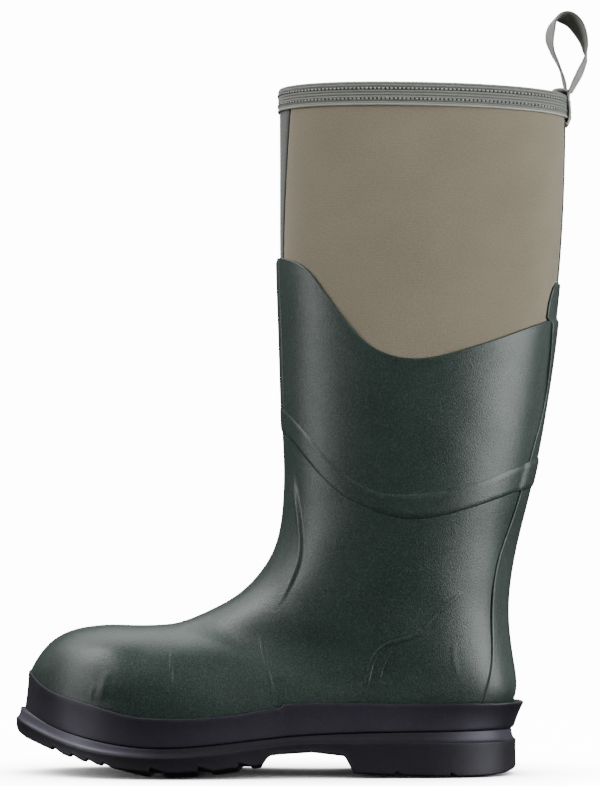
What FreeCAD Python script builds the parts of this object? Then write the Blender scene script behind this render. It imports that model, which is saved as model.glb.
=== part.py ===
"""Insulated tall boot, left foot: a neoprene sock with a moulded rubber shell, on a lugged rubber sole.

The toe points to -X, the outer (lateral) side of the foot faces -Y and +Z is up. The tread stands on Z = 0.
The origin is the bottom centre of the whole boot's box. Every layer is one body of rings, moved inwards or
outwards by the layer's depth, so the lining, neoprene, rubber and overlays follow each other exactly.
Lengths are millimetres.
"""
import FreeCAD, Part
import math
import os

V = FreeCAD.Vector

# ---------------------------------------------------------------- driving dimensions
TOPLINE_FRONT = 409.5        # height of the bound top edge at the shin
TOPLINE_BACK = 405.3         # and at the calf
SHAFT_FRONT_X = -15.2        # outside of the shaft at the shin, at the top
SHAFT_BACK_X = 160.6         # and at the calf
RUBBER = 1.8                 # wall of the rubber shell
NEOPRENE = 5.0               # wall of the neoprene sock
LINING = 1.6                 # wall of the fleece lining
GAP = 0.2                    # clear space kept between two layers
OVERLAY_GAP = 0.1            # and between the shell and the strips on it
SPINE_STRIP = 1.2            # thickness of the strip up the back
CALF_BAND = 0.8              # thickness of the band round the calf
SHIN_STRIP = 0.4
SHIN_HALF_WIDTH = 11.5
INSTEP_OVERLAY = 0.6
BINDING = 1.0                # wall of the binding tape
BINDING_HEIGHT = 14.4
PIPING_WIDTH = 1.2
WEB = 1.6                    # thickness of the pull loop's webbing
WEB_WIDTH = 20.0
FOOTBED = 5.0
FOOTBED_COVER = 0.8
TOE_CAP = 1.8
HEEL_COUNTER = 1.2
BOARD = 1.6                  # insole board
BOARD_TOP = 0.9              # it lies this far under the bottom line of the shell
SHANK = (112.0, 18.0, 1.2)   # length, width and thickness of the steel shank
SHANK_START_X = -35.0
CUP_DEPTH = 3.0              # the outsole is hollowed this deep for the midsole
SOCK_SPLIT_Z = 130.0         # where the foot of the sock is seamed to its shaft

# depth of each face under the outside of the rubber shell
NEO_OUT = RUBBER + GAP
NEO_IN = NEO_OUT + NEOPRENE
LINING_OUT = NEO_IN + GAP
LINING_IN = LINING_OUT + LINING
BINDING_OUT = NEO_OUT - GAP / 2 - BINDING
BINDING_IN = LINING_IN + GAP / 2 + BINDING

# ---------------------------------------------------------------- the body of rings
# One row per ring, from the top of the shaft, round the heel, to the tip of the toe:
# front or upper point (x, z); back or lower point (x, z); how far from front to back the ring is widest;
# y there on the outer and on the inner side of the foot; squareness of the front half and of the back half.
RINGS = [
    ((SHAFT_FRONT_X, 425.0), (SHAFT_BACK_X, 425.0), 0.52, -52.0, 52.0, 2.15, 2.15),
    ((-15.2, 360.0), (160.2, 352.0), 0.52, -52.0, 52.0, 2.15, 2.15),
    ((-15.0, 305.0), (156.9, 300.0), 0.52, -51.5, 51.5, 2.15, 2.15),
    ((-13.6, 262.0), (152.2, 258.0), 0.53, -50.5, 50.5, 2.15, 2.15),
    ((-12.3, 222.0), (146.4, 220.0), 0.54, -49.5, 49.5, 2.15, 2.15),
    ((-10.9, 188.0), (140.4, 186.0), 0.54, -48.0, 48.0, 2.15, 2.15),
    ((-11.0, 162.0), (134.0, 160.0), 0.55, -46.5, 46.5, 2.15, 2.2),
    ((-14.4, 138.5), (128.0, 136.0), 0.55, -45.0, 45.0, 2.15, 2.2),
    ((-23.5, 120.5), (124.0, 112.0), 0.56, -43.5, 43.5, 2.1, 2.3),
    ((-37.0, 107.0), (123.0, 90.0), 0.58, -42.0, 42.0, 2.1, 2.4),
    ((-51.5, 98.2), (125.6, 66.0), 0.59, -41.0, 41.0, 2.1, 2.6),
    ((-64.5, 92.4), (126.6, 47.0), 0.59, -39.8, 39.2, 2.1, 2.8),
    ((-74.0, 89.2), (114.0, 31.8), 0.55, -39.6, 38.6, 2.1, 2.9),
    ((-81.5, 88.0), (80.0, 29.2), 0.55, -40.4, 38.8, 2.1, 3.0),
    ((-93.0, 87.5), (0.0, 26.5), 0.59, -44.6, 41.8, 2.15, 3.3),
    ((-104.0, 87.8), (-55.0, 22.5), 0.66, -48.6, 46.8, 2.2, 3.8),
    ((-116.0, 88.0), (-95.0, 21.5), 0.69, -47.0, 49.0, 2.3, 4.0),
    ((-128.0, 86.7), (-121.0, 25.0), 0.68, -41.0, 48.0, 2.4, 3.8),
    ((-140.0, 83.4), (-140.0, 31.5), 0.66, -31.5, 44.0, 2.5, 3.4),
    ((-150.5, 77.0), (-152.5, 38.0), 0.62, -19.5, 36.0, 2.5, 3.0),
    ((-158.4, 67.5), (-159.4, 44.0), 0.56, -6.5, 23.0, 2.4, 2.6),
    ((-162.2, 59.5), (-162.4, 50.0), 0.50, 3.5, 14.0, 2.2, 2.2),
]
RING_POINTS = 28
TIP_X = -162.8               # the blunt tip of the toe, a small flat on the last ring


def spread(values, axis):
    """The direction of travel at each ring for a list of points, straight down at the top, along axis at the tip."""
    ways = []
    for i, _ in enumerate(values):
        if i == 0:
            way = V(0, 0, -1)
        elif i == len(values) - 1:
            way = axis
        else:
            way = values[i + 1] - values[i - 1]
        ways.append(V(way).normalize())
    return ways


def key_points():
    """Front, back, outer and inner point of each ring, and the inward normal at each of them."""
    front, back, outer, inner = [], [], [], []
    last = len(RINGS) - 1
    for i, (f, b, share, y_outer, y_inner, _, _) in enumerate(RINGS):
        middle = (y_outer + y_inner) / 2
        xf, xb = (TIP_X, TIP_X) if i == last else (f[0], b[0])
        x = xf + share * (xb - xf)
        z = f[1] + share * (b[1] - f[1])
        front.append(V(xf, middle, f[1]))
        back.append(V(xb, middle, b[1]))
        outer.append(V(x, y_outer, z))
        inner.append(V(x, y_inner, z))
    ways = [spread(front, V(0, 0, -1)), spread(back, V(0, 0, 1)),
            spread(outer, V(0, 1, 0)), spread(inner, V(0, -1, 0))]
    normals = [[], [], [], []]
    for i in range(len(RINGS)):
        centre = (outer[i] + inner[i]) * 0.5
        across = V(0, 1, 0)
        along = V(back[i] - front[i]).normalize()
        for k, (point, ring_way) in enumerate(((front[i], across), (back[i], across),
                                               (outer[i], along), (inner[i], along))):
            n = ways[k][i].cross(ring_way)
            if n.dot(centre - point) < 0:
                n = n * -1
            if i == last:
                n = V(1, 0, 0)
            normals[k].append(n.normalize())
    return (front, back, outer, inner), normals


KEYS, NORMALS = key_points()


def ring_points(i, inset):
    """Points round ring i, every one moved inwards by inset."""
    f, b, o, n = (KEYS[k][i] + NORMALS[k][i] * inset for k in range(4))
    centre = (o + n) * 0.5
    square_front, square_back = RINGS[i][5], RINGS[i][6]
    points = []
    for k in range(RING_POINTS):
        turn = 2 * math.pi * k / RING_POINTS
        c, s = math.cos(turn), math.sin(turn)
        power = 2 / (square_front if c > 0 else square_back)
        along = (f if c > 0 else b) - centre
        side = (o if s > 0 else n) - centre
        points.append(centre + along * abs(c) ** power + side * abs(s) ** power)
    return points


def ring_spacing():
    """How far down the boot each ring lies, from 0 to 1, by the mean distance between rings."""
    rings = [ring_points(i, 0.0) for i in range(len(RINGS))]
    at = [0.0]
    for a, b in zip(rings[:-1], rings[1:]):
        at.append(at[-1] + sum((p - q).Length for p, q in zip(a, b)) / RING_POINTS)
    return [v / at[-1] for v in at]


SPACING = ring_spacing()
BODIES = {}


def smooth_surface(inset):
    """One smooth surface through all the rings, closed round each ring."""
    rings = [ring_points(i, inset) for i in range(len(RINGS))]
    turns = [k / RING_POINTS for k in range(RING_POINTS + 1)]
    lines = []
    for k in range(RING_POINTS):
        line = Part.BSplineCurve()
        line.interpolate(Points=[ring[k] for ring in rings], Parameters=SPACING)
        lines.append(line)
    loops = []
    for row in zip(*(line.getPoles() for line in lines)):
        loop = Part.BSplineCurve()
        loop.interpolate(Points=list(row), PeriodicFlag=True, Parameters=turns)
        loops.append(loop)
    poles = [list(column) for column in zip(*(loop.getPoles() for loop in loops))]
    surface = Part.BSplineSurface()
    surface.buildFromPolesMultsKnots(poles, loops[0].getMultiplicities(), lines[0].getMultiplicities(),
                                     loops[0].getKnots(), lines[0].getKnots(), True, False, 3, 3)
    return surface


def body(inset):
    """The whole boot as one solid block, with its surface inset under the outside of the rubber shell."""
    key = round(inset, 3)
    if key not in BODIES:
        side = smooth_surface(inset).toShape()
        caps = [Part.Face(Part.Wire(e)) for e in side.Edges if e.isClosed() and not e.isSeam(side)]
        block = Part.makeSolid(Part.makeShell([side] + caps))
        block.fix(1e-4, 1e-4, 1e-4)
        BODIES[key] = block
    return BODIES[key]


def layer(outer, inner):
    """The wall between two insets."""
    return body(outer).cut(body(inner))


def wall_patch(region, outer, inner):
    """The part of a wall that lies in a region."""
    return region.common(body(outer)).cut(body(inner))


# ---------------------------------------------------------------- cutters
FAR = 400.0


def side_prism(points, curve_count=None, width=FAR):
    """A prism along Y from a side-view outline: a smooth curve through the first curve_count points, then straight."""
    points = [V(x, -width / 2, z) for x, z in points]
    count = curve_count or 0
    edges = []
    if count > 1:
        curve = Part.BSplineCurve()
        curve.interpolate(points[:count])
        edges.append(curve.toShape())
        rest = points[count - 1:] + [points[0]]
    else:
        rest = points + [points[0]]
    edges += [Part.makeLine(a, b) for a, b in zip(rest[:-1], rest[1:])]
    return Part.Face(Part.Wire(edges)).extrude(V(0, width, 0))


def box(x, y, z):
    """A box between (low, high) pairs."""
    return Part.makeBox(x[1] - x[0], y[1] - y[0], z[1] - z[0], V(x[0], y[0], z[0]))


def above_topline(lower=0.0):
    """All space above the top edge, which falls slightly from the shin to the calf, lowered by lower."""
    slope = (TOPLINE_BACK - TOPLINE_FRONT) / (SHAFT_BACK_X - SHAFT_FRONT_X)
    left, right = -200.0, 260.0
    z_left = TOPLINE_FRONT + slope * (left - SHAFT_FRONT_X) - lower
    z_right = TOPLINE_FRONT + slope * (right - SHAFT_FRONT_X) - lower
    return side_prism([(left, z_left), (right, z_right), (right, 600.0), (left, 600.0)])


def side_band(lower_curve, upper_curve, width=FAR):
    """A prism along Y between two smooth side-view curves that run the same way."""
    low = Part.BSplineCurve()
    low.interpolate([V(x, -width / 2, z) for x, z in lower_curve])
    high = Part.BSplineCurve()
    high.interpolate([V(x, -width / 2, z) for x, z in upper_curve])
    a, b = low.toShape(), high.toShape()
    ends = [Part.makeLine(low.StartPoint, high.StartPoint), Part.makeLine(low.EndPoint, high.EndPoint)]
    return Part.Face(Part.Wire(Part.__sortEdges__([a, b] + ends))).extrude(V(0, width, 0))


def solids_of(shape):
    """The shape's solids as one compound, or the solid itself if there is one."""
    solids = [s for s in shape.Solids if s.Volume > 0.5]
    return solids[0] if len(solids) == 1 else Part.makeCompound(solids)


def raised(curve, by):
    """A side-view curve moved up by a height."""
    return [(x, z + by) for x, z in curve]


# ---------------------------------------------------------------- side-view curves
SHELL_EDGE = [(-60.0, 307.5), (-14.0, 307.0), (0.0, 300.5), (12.0, 286.0), (26.0, 267.0), (40.0, 252.5),
              (63.0, 244.8), (92.0, 249.2), (118.0, 257.5), (145.0, 267.5), (200.0, 285.0)]
SPINE_EDGE = [(96.0, 20.0), (105.0, 44.0), (110.4, 61.7), (111.3, 88.0), (112.4, 112.0), (115.4, 127.0),
              (121.6, 144.5), (129.3, 168.0), (137.4, 195.0), (143.6, 217.0), (148.0, 245.0), (149.4, 268.0),
              (152.4, 282.5), (157.0, 289.5), (175.0, 291.0)]
BAND_TOP = [(-40.0, 238.0), (-14.0, 220.5), (10.0, 193.5), (37.0, 170.5), (63.0, 165.5), (96.0, 170.5),
            (131.0, 183.5), (170.0, 203.0)]
BAND_BOTTOM = [(-40.0, 226.0), (-12.0, 203.5), (13.5, 173.0), (37.0, 156.5), (62.0, 150.5), (96.0, 156.0),
               (128.0, 167.0), (170.0, 184.0)]
INSTEP_EDGE = [(-3.4, 163.0), (-0.3, 143.0), (-1.8, 127.0), (-10.5, 105.5), (-27.0, 95.0), (-58.0, 86.0)]
LAST_BOTTOM = [(140.0, 29.5), (80.0, 29.2), (0.0, 26.5), (-55.0, 22.5), (-95.0, 21.5), (-121.0, 25.0),
               (-140.0, 31.5), (-152.5, 38.0), (-175.0, 52.0)]
TREAD = [(140.0, 8.0), (128.0, 3.4), (122.0, 1.6), (113.0, 0.3), (104.0, 0.0), (72.0, 0.0), (46.0, 0.8),
         (32.5, 1.8)]
ARCH = [(32.5, 1.8), (25.0, 12.2), (6.0, 14.7), (-13.0, 13.4), (-21.0, 12.0), (-23.0, 5.8)]
FOREFOOT = [(-23.0, 5.8), (-37.0, 3.4), (-51.0, 1.5), (-66.0, 0.3), (-84.0, 0.0), (-100.0, 1.3), (-117.0, 4.6),
            (-137.0, 10.0), (-150.0, 14.6), (-163.5, 20.6), (-170.0, 26.0), (-178.0, 38.0)]
FOREFOOT_RIM = [(-15.0, 9.6), (-28.0, 7.0), (-37.0, 6.0), (-51.0, 4.4), (-72.0, 3.1), (-89.0, 3.4), (-108.0, 5.5),
                (-127.5, 9.3), (-137.0, 11.8), (-149.0, 15.4), (-163.5, 21.0), (-172.0, 28.5), (-180.0, 42.0)]
RIM_WIDTH = 7.0              # the tread falls away this far in from the edge of the forefoot
LIP = [(145.0, 21.0), (127.0, 20.4), (97.0, 20.2), (58.0, 20.8), (28.0, 20.7), (-7.0, 20.0), (-30.0, 17.1),
       (-60.0, 13.6), (-90.0, 12.7), (-105.0, 13.6), (-127.0, 16.7), (-146.0, 22.2), (-158.0, 26.8),
       (-180.0, 37.0)]
BEVEL_TOP = [(145.0, 27.2), (127.0, 27.1), (88.0, 26.5), (58.0, 26.2), (28.0, 25.6), (0.0, 24.4), (-19.0, 22.7),
             (-40.0, 20.4), (-60.0, 18.4), (-84.0, 17.4), (-105.0, 18.7), (-127.0, 22.6), (-146.0, 27.8),
             (-158.0, 32.6), (-180.0, 43.0)]
FOXING_TOP = [(145.0, 42.0), (132.0, 42.4), (106.0, 43.0), (58.0, 42.8), (22.0, 43.4), (-2.0, 42.0), (-19.0, 39.9),
              (-43.0, 36.3), (-66.0, 34.7), (-87.0, 34.9), (-106.0, 37.4), (-123.0, 42.5), (-137.5, 46.2),
              (-150.0, 50.6), (-157.0, 54.2), (-163.5, 58.8), (-180.0, 68.0)]
BUMPER_JOIN_X = -12.6        # where the toe bumper meets the band round the heel
HEEL_FOXING_RISE = 1.4       # the heel band stands this much higher where they meet

# ---------------------------------------------------------------- plan outline of the sole
OUTLINE = [
    (-171.2, 9.0), (-163.5, 28.5), (-146.0, 46.0), (-120.0, 53.8), (-90.0, 55.0), (-55.0, 50.5), (-15.0, 45.0),
    (30.0, 41.8), (70.0, 41.4), (100.0, 36.8), (120.5, 23.5), (127.8, 0.0), (120.5, -24.5), (100.0, -38.0),
    (70.0, -42.6), (30.0, -44.5), (-15.0, -48.6), (-50.0, -53.5), (-78.0, -55.0), (-108.0, -51.0),
    (-135.0, -39.0), (-156.0, -20.5), (-168.0, -4.5),
]


def outline_wire(z, side, toe=None, heel=None):
    """The sole's outline at height z, moved outwards by side, or by toe and heel at the two ends."""
    toe = side if toe is None else toe
    heel = side if heel is None else heel
    count = len(OUTLINE)
    points = []
    for i, (x, y) in enumerate(OUTLINE):
        before, after = OUTLINE[i - 1], OUTLINE[(i + 1) % count]
        dx, dy = after[0] - before[0], after[1] - before[1]
        length = math.hypot(dx, dy)
        nx, ny = -dy / length, dx / length
        to_heel = min(max((x - 85.0) / 35.0, 0.0), 1.0)
        to_toe = min(max((-x - 148.0) / 22.0, 0.0), 1.0)
        out = side + (heel - side) * to_heel + (toe - side) * to_toe
        points.append(V(x + nx * out, y + ny * out, z))
    curve = Part.BSplineCurve()
    curve.interpolate(points, PeriodicFlag=True)
    return Part.Wire(curve.toShape())


def sole_block(z_low, z_high, low, high):
    """A block between two heights whose outline grows or shrinks: low and high are (side, toe, heel) offsets."""
    return Part.makeLoft([outline_wire(z_low, *low), outline_wire(z_high, *high)], True, True)


FOXING_LOW = (-2.3, -4.2, -0.6)      # offsets of the heel band's outside at Z = 25
FOXING_HIGH = (-2.8, -6.6, 4.6)      # and at Z = 45, where it stands out as a kick ledge
CORE = -8.0                          # offset of the midsole's side
BOARD_EDGE = -18.0                   # and of the insole board's


# ---------------------------------------------------------------- sole parts
def lug_grooves():
    """The grooves between the lugs: pairs that slant back to the middle, and one along the middle."""
    grooves = []
    slots = [(x, 4.0, 12.0, 46.0, rim_height(x) + 1.8) for x in (-147.0, -135.5, -126.0, -116.5)]
    slots += [(x, 5.0, 16.0, 50.0, rim_height(x) + 2.6) for x in (-88.5, -60.5, -37.0)]
    slots += [(x, 4.5, 12.0, 40.0, 4.2) for x in (54.5, 86.5)]
    for x, width, slant, reach, floor in slots:
        middle = x + reach * math.tan(math.radians(slant))
        for side in (-1, 1):
            slot = Part.makeBox(width, 80.0, 30.0, V(-width / 2, 0, -30.0))
            slot.rotate(V(0, 0, 0), V(0, 0, 1), slant if side > 0 else 180.0 - slant)
            slot.translate(V(middle, 0, floor))
            grooves.append(slot)
    grooves.append(side_band(raised(FOREFOOT, -20.0), raised(FOREFOOT, 4.2), 5.0).common(
        box((-140.0, -40.0), (-10, 10), (-40.0, 60.0))))
    grooves.append(box((40.0, 100.0), (-2.5, 2.5), (-20.0, 4.2)))
    return grooves


def rim_height(x):
    """Height of the forefoot's rim at x."""
    for (xa, za), (xb, zb) in zip(FOREFOOT_RIM[:-1], FOREFOOT_RIM[1:]):
        if xb <= x <= xa:
            return za + (zb - za) * (x - xa) / (xb - xa)
    return FOREFOOT_RIM[0][1]


def underside():
    """All space under the tread, as a prism along Y."""
    y = -FAR / 2
    edges = []
    for points, smooth in ((TREAD[:5], True), (TREAD[4:], False), (ARCH, False), (FOREFOOT, True)):
        if smooth:
            curve = Part.BSplineCurve()
            curve.interpolate([V(x, y, z) for x, z in points])
            edges.append(curve.toShape())
        else:
            edges += [Part.makeLine(V(a[0], y, a[1]), V(b[0], y, b[1])) for a, b in zip(points[:-1], points[1:])]
    corners = [FOREFOOT[-1], (FOREFOOT[-1][0], -60.0), (TREAD[0][0], -60.0), TREAD[0]]
    edges += [Part.makeLine(V(a[0], y, a[1]), V(b[0], y, b[1])) for a, b in zip(corners[:-1], corners[1:])]
    return Part.Face(Part.Wire(edges)).extrude(V(0, FAR, 0))


def straight_block(offset):
    """An upright block with the sole's outline moved outwards by offset."""
    return sole_block(-5.0, 80.0, (offset, offset, offset), (offset, offset, offset))


def outsole():
    """Lugged rubber outsole: a wall up to the lip, a narrower step above it, and a hollow for the midsole."""
    wall = straight_block(0.0).common(side_band(raised(LIP, -90.0), LIP))
    step = sole_block(-5.0, 80.0, (-2.6, -3.6, -2.2), (-2.6, -3.6, -2.2)).common(
        side_band(raised(BEVEL_TOP, -90.0), raised(BEVEL_TOP, -OVERLAY_GAP)))
    hollow = straight_block(CORE).common(side_band(raised(BEVEL_TOP, -CUP_DEPTH), raised(BEVEL_TOP, 9.0)))
    sole = wall.fuse(step).cut(hollow).cut(underside())
    rim = side_band(raised(FOREFOOT_RIM, -60.0), FOREFOOT_RIM).common(
        box((-200.0, -19.5), (-90, 90), (-60.0, 60.0))).cut(straight_block(-RIM_WIDTH))
    sole = sole.cut(rim)
    for groove in lug_grooves():
        sole = sole.cut(groove)
    return solids_of(sole)


def under_foot(top, thick):
    """A slab that follows the bottom of the shell, from top to top + thick under it."""
    return side_band(raised(LAST_BOTTOM, -top - thick), raised(LAST_BOTTOM, -top))


def insole_board():
    """Fibre board under the whole foot, let into the top of the midsole."""
    return solids_of(straight_block(BOARD_EDGE).common(under_foot(BOARD_TOP, BOARD)))


def shank_slab(grow):
    """The space of the shank, grown by a gap all round."""
    length, width, thick = SHANK
    slab = under_foot(BOARD_TOP + BOARD + GAP - grow, thick + 2 * grow)
    return slab.common(box((SHANK_START_X - grow, SHANK_START_X + length + grow),
                           (-width / 2 - grow, width / 2 + grow), (0.0, 60.0)))


def shank():
    """Spring steel strip under the arch, let into the midsole."""
    return solids_of(shank_slab(0.0))


def midsole():
    """Foam wedge between the hollow of the outsole and the bottom of the shell."""
    core = straight_block(CORE - OVERLAY_GAP).common(
        side_band(raised(BEVEL_TOP, OVERLAY_GAP - CUP_DEPTH), raised(LAST_BOTTOM, 4.0)))
    wedge = core.cut(body(-OVERLAY_GAP))
    wedge = wedge.cut(straight_block(BOARD_EDGE + GAP).common(under_foot(-12.0, 12.0 + BOARD_TOP + BOARD + GAP)))
    return solids_of(wedge.cut(shank_slab(GAP)))


def foxing():
    """The rubber band round the foot above the outsole: toe bumper in front, heel band behind."""
    front = sole_block(15.0, 70.0, (-2.3, -2.8, -0.6), (-2.8, -8.6, 4.4))
    behind = sole_block(25.0, 45.0, FOXING_LOW, FOXING_HIGH)
    core = straight_block(CORE + OVERLAY_GAP)
    core_top = raised(LAST_BOTTOM, 4.0 + GAP)
    inside = body(-OVERLAY_GAP)
    heel_top = [(x, z + HEEL_FOXING_RISE * min(1.0, max(0.0, 1 - (x - BUMPER_JOIN_X) / 34.0))) for x, z in FOXING_TOP]
    pieces = []
    for block, top, x_range in ((front, FOXING_TOP, (-220.0, BUMPER_JOIN_X)),
                                (behind, heel_top, (BUMPER_JOIN_X + GAP, 220.0))):
        band = block.common(box(x_range, (-90, 90), (10.0, 90.0))).common(side_band(BEVEL_TOP, top))
        band = band.cut(core.common(side_band(raised(BEVEL_TOP, -5.0), core_top)))
        pieces.append(solids_of(band.cut(inside)))
    return pieces


# ---------------------------------------------------------------- rubber parts
def rubber_shell():
    """Moulded green rubber over the foot and the lower shaft, with the swept top edge."""
    above = side_prism(SHELL_EDGE + [(200.0, 600.0), (-60.0, 600.0)], len(SHELL_EDGE))
    return solids_of(layer(0.0, RUBBER).cut(above))


def overlay(thickness):
    """A thin wall that lies on the outside of the rubber shell."""
    return layer(-OVERLAY_GAP - thickness, -OVERLAY_GAP)


def spine_region():
    """Everything behind the front edge of the strip up the back."""
    return side_prism(SPINE_EDGE + [(175.0, 20.0)], len(SPINE_EDGE))


def heel_spine_strip():
    """The rubber strip up the back, tucked into the heel foxing and running on over the neoprene at its top."""
    region = spine_region().cut(box((-50.0, 200.0), (-90, 90), (0.0, 45.0)))
    on_shell = wall_patch(region, -OVERLAY_GAP - SPINE_STRIP, -OVERLAY_GAP)
    thin_from = SHELL_EDGE[-2][1] + 6.5
    on_shell = on_shell.cut(box((-50.0, 200.0), (-90, 90), (thin_from, 400.0)))
    beyond = region.common(side_prism(raised(SHELL_EDGE, GAP) + [(200.0, 600.0), (-60.0, 600.0)], len(SHELL_EDGE)))
    on_sock = wall_patch(beyond, 0.5, NEO_OUT - OVERLAY_GAP)
    bridge = wall_patch(beyond.cut(box((-50.0, 200.0), (-90, 90), (thin_from, 400.0))), -OVERLAY_GAP - 0.5, 0.8)
    return solids_of(on_shell.fuse(bridge).fuse(on_sock))


def calf_band():
    """The reinforcing band that sweeps round the calf."""
    band = overlay(CALF_BAND).common(side_band(BAND_BOTTOM, BAND_TOP))
    return solids_of(band.cut(spine_region()))


def shin_strip():
    """The narrow rubber strip down the middle of the shin, ending at the calf band."""
    strip = overlay(SHIN_STRIP).common(box((-60.0, 20.0), (-SHIN_HALF_WIDTH, SHIN_HALF_WIDTH), (222.0, 306.0)))
    return solids_of(strip.cut(side_band(BAND_BOTTOM, raised(BAND_TOP, GAP))))


def instep_overlay():
    """The patch over the bend of the instep, whose edge shows as a soft ridge."""
    region = side_prism(INSTEP_EDGE + [(-66.0, 110.0), (-40.0, 163.0)], len(INSTEP_EDGE))
    return solids_of(overlay(INSTEP_OVERLAY).common(region))


# ---------------------------------------------------------------- sock parts
def seam_prism(y_low, y_high, half, at_front):
    """A slab along X that follows a shaft seam: y_low at the sock split, y_high at the top."""
    z_low, z_high = SOCK_SPLIT_Z - 10.0, 430.0
    x_low, x_high = (-60.0, 55.0) if at_front else (90.0, 200.0)
    corners = [V(x_low, y_low - half, z_low), V(x_low, y_low + half, z_low),
               V(x_low, y_high + half, z_high), V(x_low, y_high - half, z_high)]
    return Part.Face(Part.makePolygon(corners + [corners[0]])).extrude(V(x_high - x_low, 0, 0))


FRONT_SEAM = (5.0, 18.0)     # distance of the front seams from the middle, at the split and at the top
BACK_SEAM = (7.5, 7.5)


def shaft_parts():
    """The neoprene shaft as four panels, and the dark piping in the seams between them."""
    tube = layer(NEO_OUT, NEO_IN).cut(above_topline(BINDING + GAP))
    tube = tube.cut(box((-250, 250), (-90, 90), (-10.0, SOCK_SPLIT_Z + GAP)))
    face = layer(NEO_OUT - 0.4, NEO_IN).cut(above_topline(BINDING_HEIGHT + GAP))
    face = face.cut(box((-250, 250), (-90, 90), (-10.0, 310.0)))
    seams, piping, wide = [], [], PIPING_WIDTH / 2 + 0.1
    for (low, high), at_front in ((FRONT_SEAM, True), (BACK_SEAM, False)):
        for side in (-1, 1):
            seams.append(seam_prism(side * low, side * high, wide, at_front))
            piping.append(face.common(seam_prism(side * low, side * high, PIPING_WIDTH / 2, at_front)))
    above_shell = box((-250, 250), (-90, 90), (309.8, 500.0))
    for seam in seams:
        tube = tube.cut(seam.common(above_shell))
    front = tube.common(seam_slab(FRONT_SEAM, True))
    back = tube.common(seam_slab(BACK_SEAM, False))
    rest = tube.cut(seam_slab(FRONT_SEAM, True, GAP)).cut(seam_slab(BACK_SEAM, False, GAP))
    lateral = rest.common(box((-250, 250), (-90, 0), (0, 500)))
    medial = rest.common(box((-250, 250), (0, 90), (0, 500)))
    cords = Part.makeCompound([s for p in piping for s in p.Solids])
    return solids_of(lateral), solids_of(medial), solids_of(front), solids_of(back), cords


def seam_slab(seam, at_front, grow=0.0):
    """The space between a pair of seams."""
    low, high = seam[0] + grow, seam[1] + grow
    x_low, x_high = (-60.0, 55.0) if at_front else (90.0, 200.0)
    z_low, z_high = SOCK_SPLIT_Z - 10.0, 430.0
    corners = [V(x_low, -low, z_low), V(x_low, low, z_low), V(x_low, high, z_high), V(x_low, -high, z_high)]
    return Part.Face(Part.makePolygon(corners + [corners[0]])).extrude(V(x_high - x_low, 0, 0))


CAP_REGION = [(-112.0, 120.0), (-116.0, 60.0), (-112.0, 28.0), (-140.0, 37.0), (-152.0, 44.0), (-200.0, 62.0),
              (-200.0, 120.0)]
CAP_EDGE_REGION = [(-106.5, 120.0), (-110.5, 60.0), (-106.5, 28.0), (-111.8, 28.0), (-115.8, 60.0),
                   (-111.8, 120.0)]
COUNTER_REGION = [(66.0, 34.0), (78.0, 80.0), (104.0, 98.0), (160.0, 100.0), (160.0, 34.0)]


def sock_foot():
    """The foot of the neoprene sock, pressed in where the toe cap and the heel counter lie on it."""
    foot = layer(NEO_OUT, NEO_IN).common(box((-250, 250), (-90, 90), (0.0, SOCK_SPLIT_Z)))
    cap_space = layer(NEO_OUT - GAP, NEO_OUT + TOE_CAP + GAP)
    foot = foot.cut(cap_space.common(side_prism([(x + (0.4 if x > -120 else 0), z - (1.0 if z < 70 else 0))
                                                 for x, z in CAP_REGION])))
    foot = foot.cut(cap_space.common(side_prism([(-106.3, 121.0), (-110.3, 60.0), (-106.3, 27.0),
                                                 (-113.0, 27.0), (-117.0, 60.0), (-113.0, 121.0)])))
    counter_space = layer(NEO_OUT - GAP, NEO_OUT + HEEL_COUNTER + GAP)
    foot = foot.cut(counter_space.common(side_prism([(65.7, 33.7), (77.7, 80.3), (103.8, 98.4), (160.0, 100.4),
                                                     (160.0, 33.7)])))
    return solids_of(foot)


def toe_cap():
    """The safety cap over the toes."""
    return solids_of(layer(NEO_OUT, NEO_OUT + TOE_CAP).common(side_prism(CAP_REGION)))


def toe_cap_edge():
    """The soft strip that bridges the cap's back edge."""
    return solids_of(layer(NEO_OUT, NEO_OUT + TOE_CAP).common(side_prism(CAP_EDGE_REGION)))


def heel_counter():
    """The stiffener round the heel."""
    return solids_of(layer(NEO_OUT, NEO_OUT + HEEL_COUNTER).common(side_prism(COUNTER_REGION)))


def lining_parts():
    """The fleece lining, as shaft and foot, seamed at the ankle."""
    wall = layer(LINING_OUT, LINING_IN).cut(above_topline(BINDING + GAP))
    foot = wall.common(box((-250, 250), (-90, 90), (0.0, SOCK_SPLIT_Z)))
    shaft = wall.cut(box((-250, 250), (-90, 90), (-10.0, SOCK_SPLIT_Z + GAP)))
    return solids_of(shaft), solids_of(foot)


def footbed_parts():
    """The removable footbed and its fabric cover, lying on the lining."""
    inside = body(LINING_IN + GAP)
    low = raised(LAST_BOTTOM, LINING_IN + FOOTBED)
    block = side_band(raised(LAST_BOTTOM, -20.0), low)
    cover = side_band(raised(low, GAP / 2), raised(low, GAP / 2 + FOOTBED_COVER))
    return solids_of(inside.common(block)), solids_of(inside.common(cover))


# ---------------------------------------------------------------- top edge
def top_binding():
    """Woven tape folded over the top edge of the sock."""
    wall = layer(BINDING_OUT, BINDING_IN).cut(above_topline())
    wall = wall.common(above_topline(BINDING_HEIGHT))
    core = layer(BINDING_OUT + BINDING, BINDING_IN - BINDING).cut(above_topline(BINDING))
    return solids_of(wall.cut(core))


STITCH_ROWS = (4.6, 10.2)    # how far the two rows of stitching lie below the top edge
THREAD = 0.5


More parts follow.
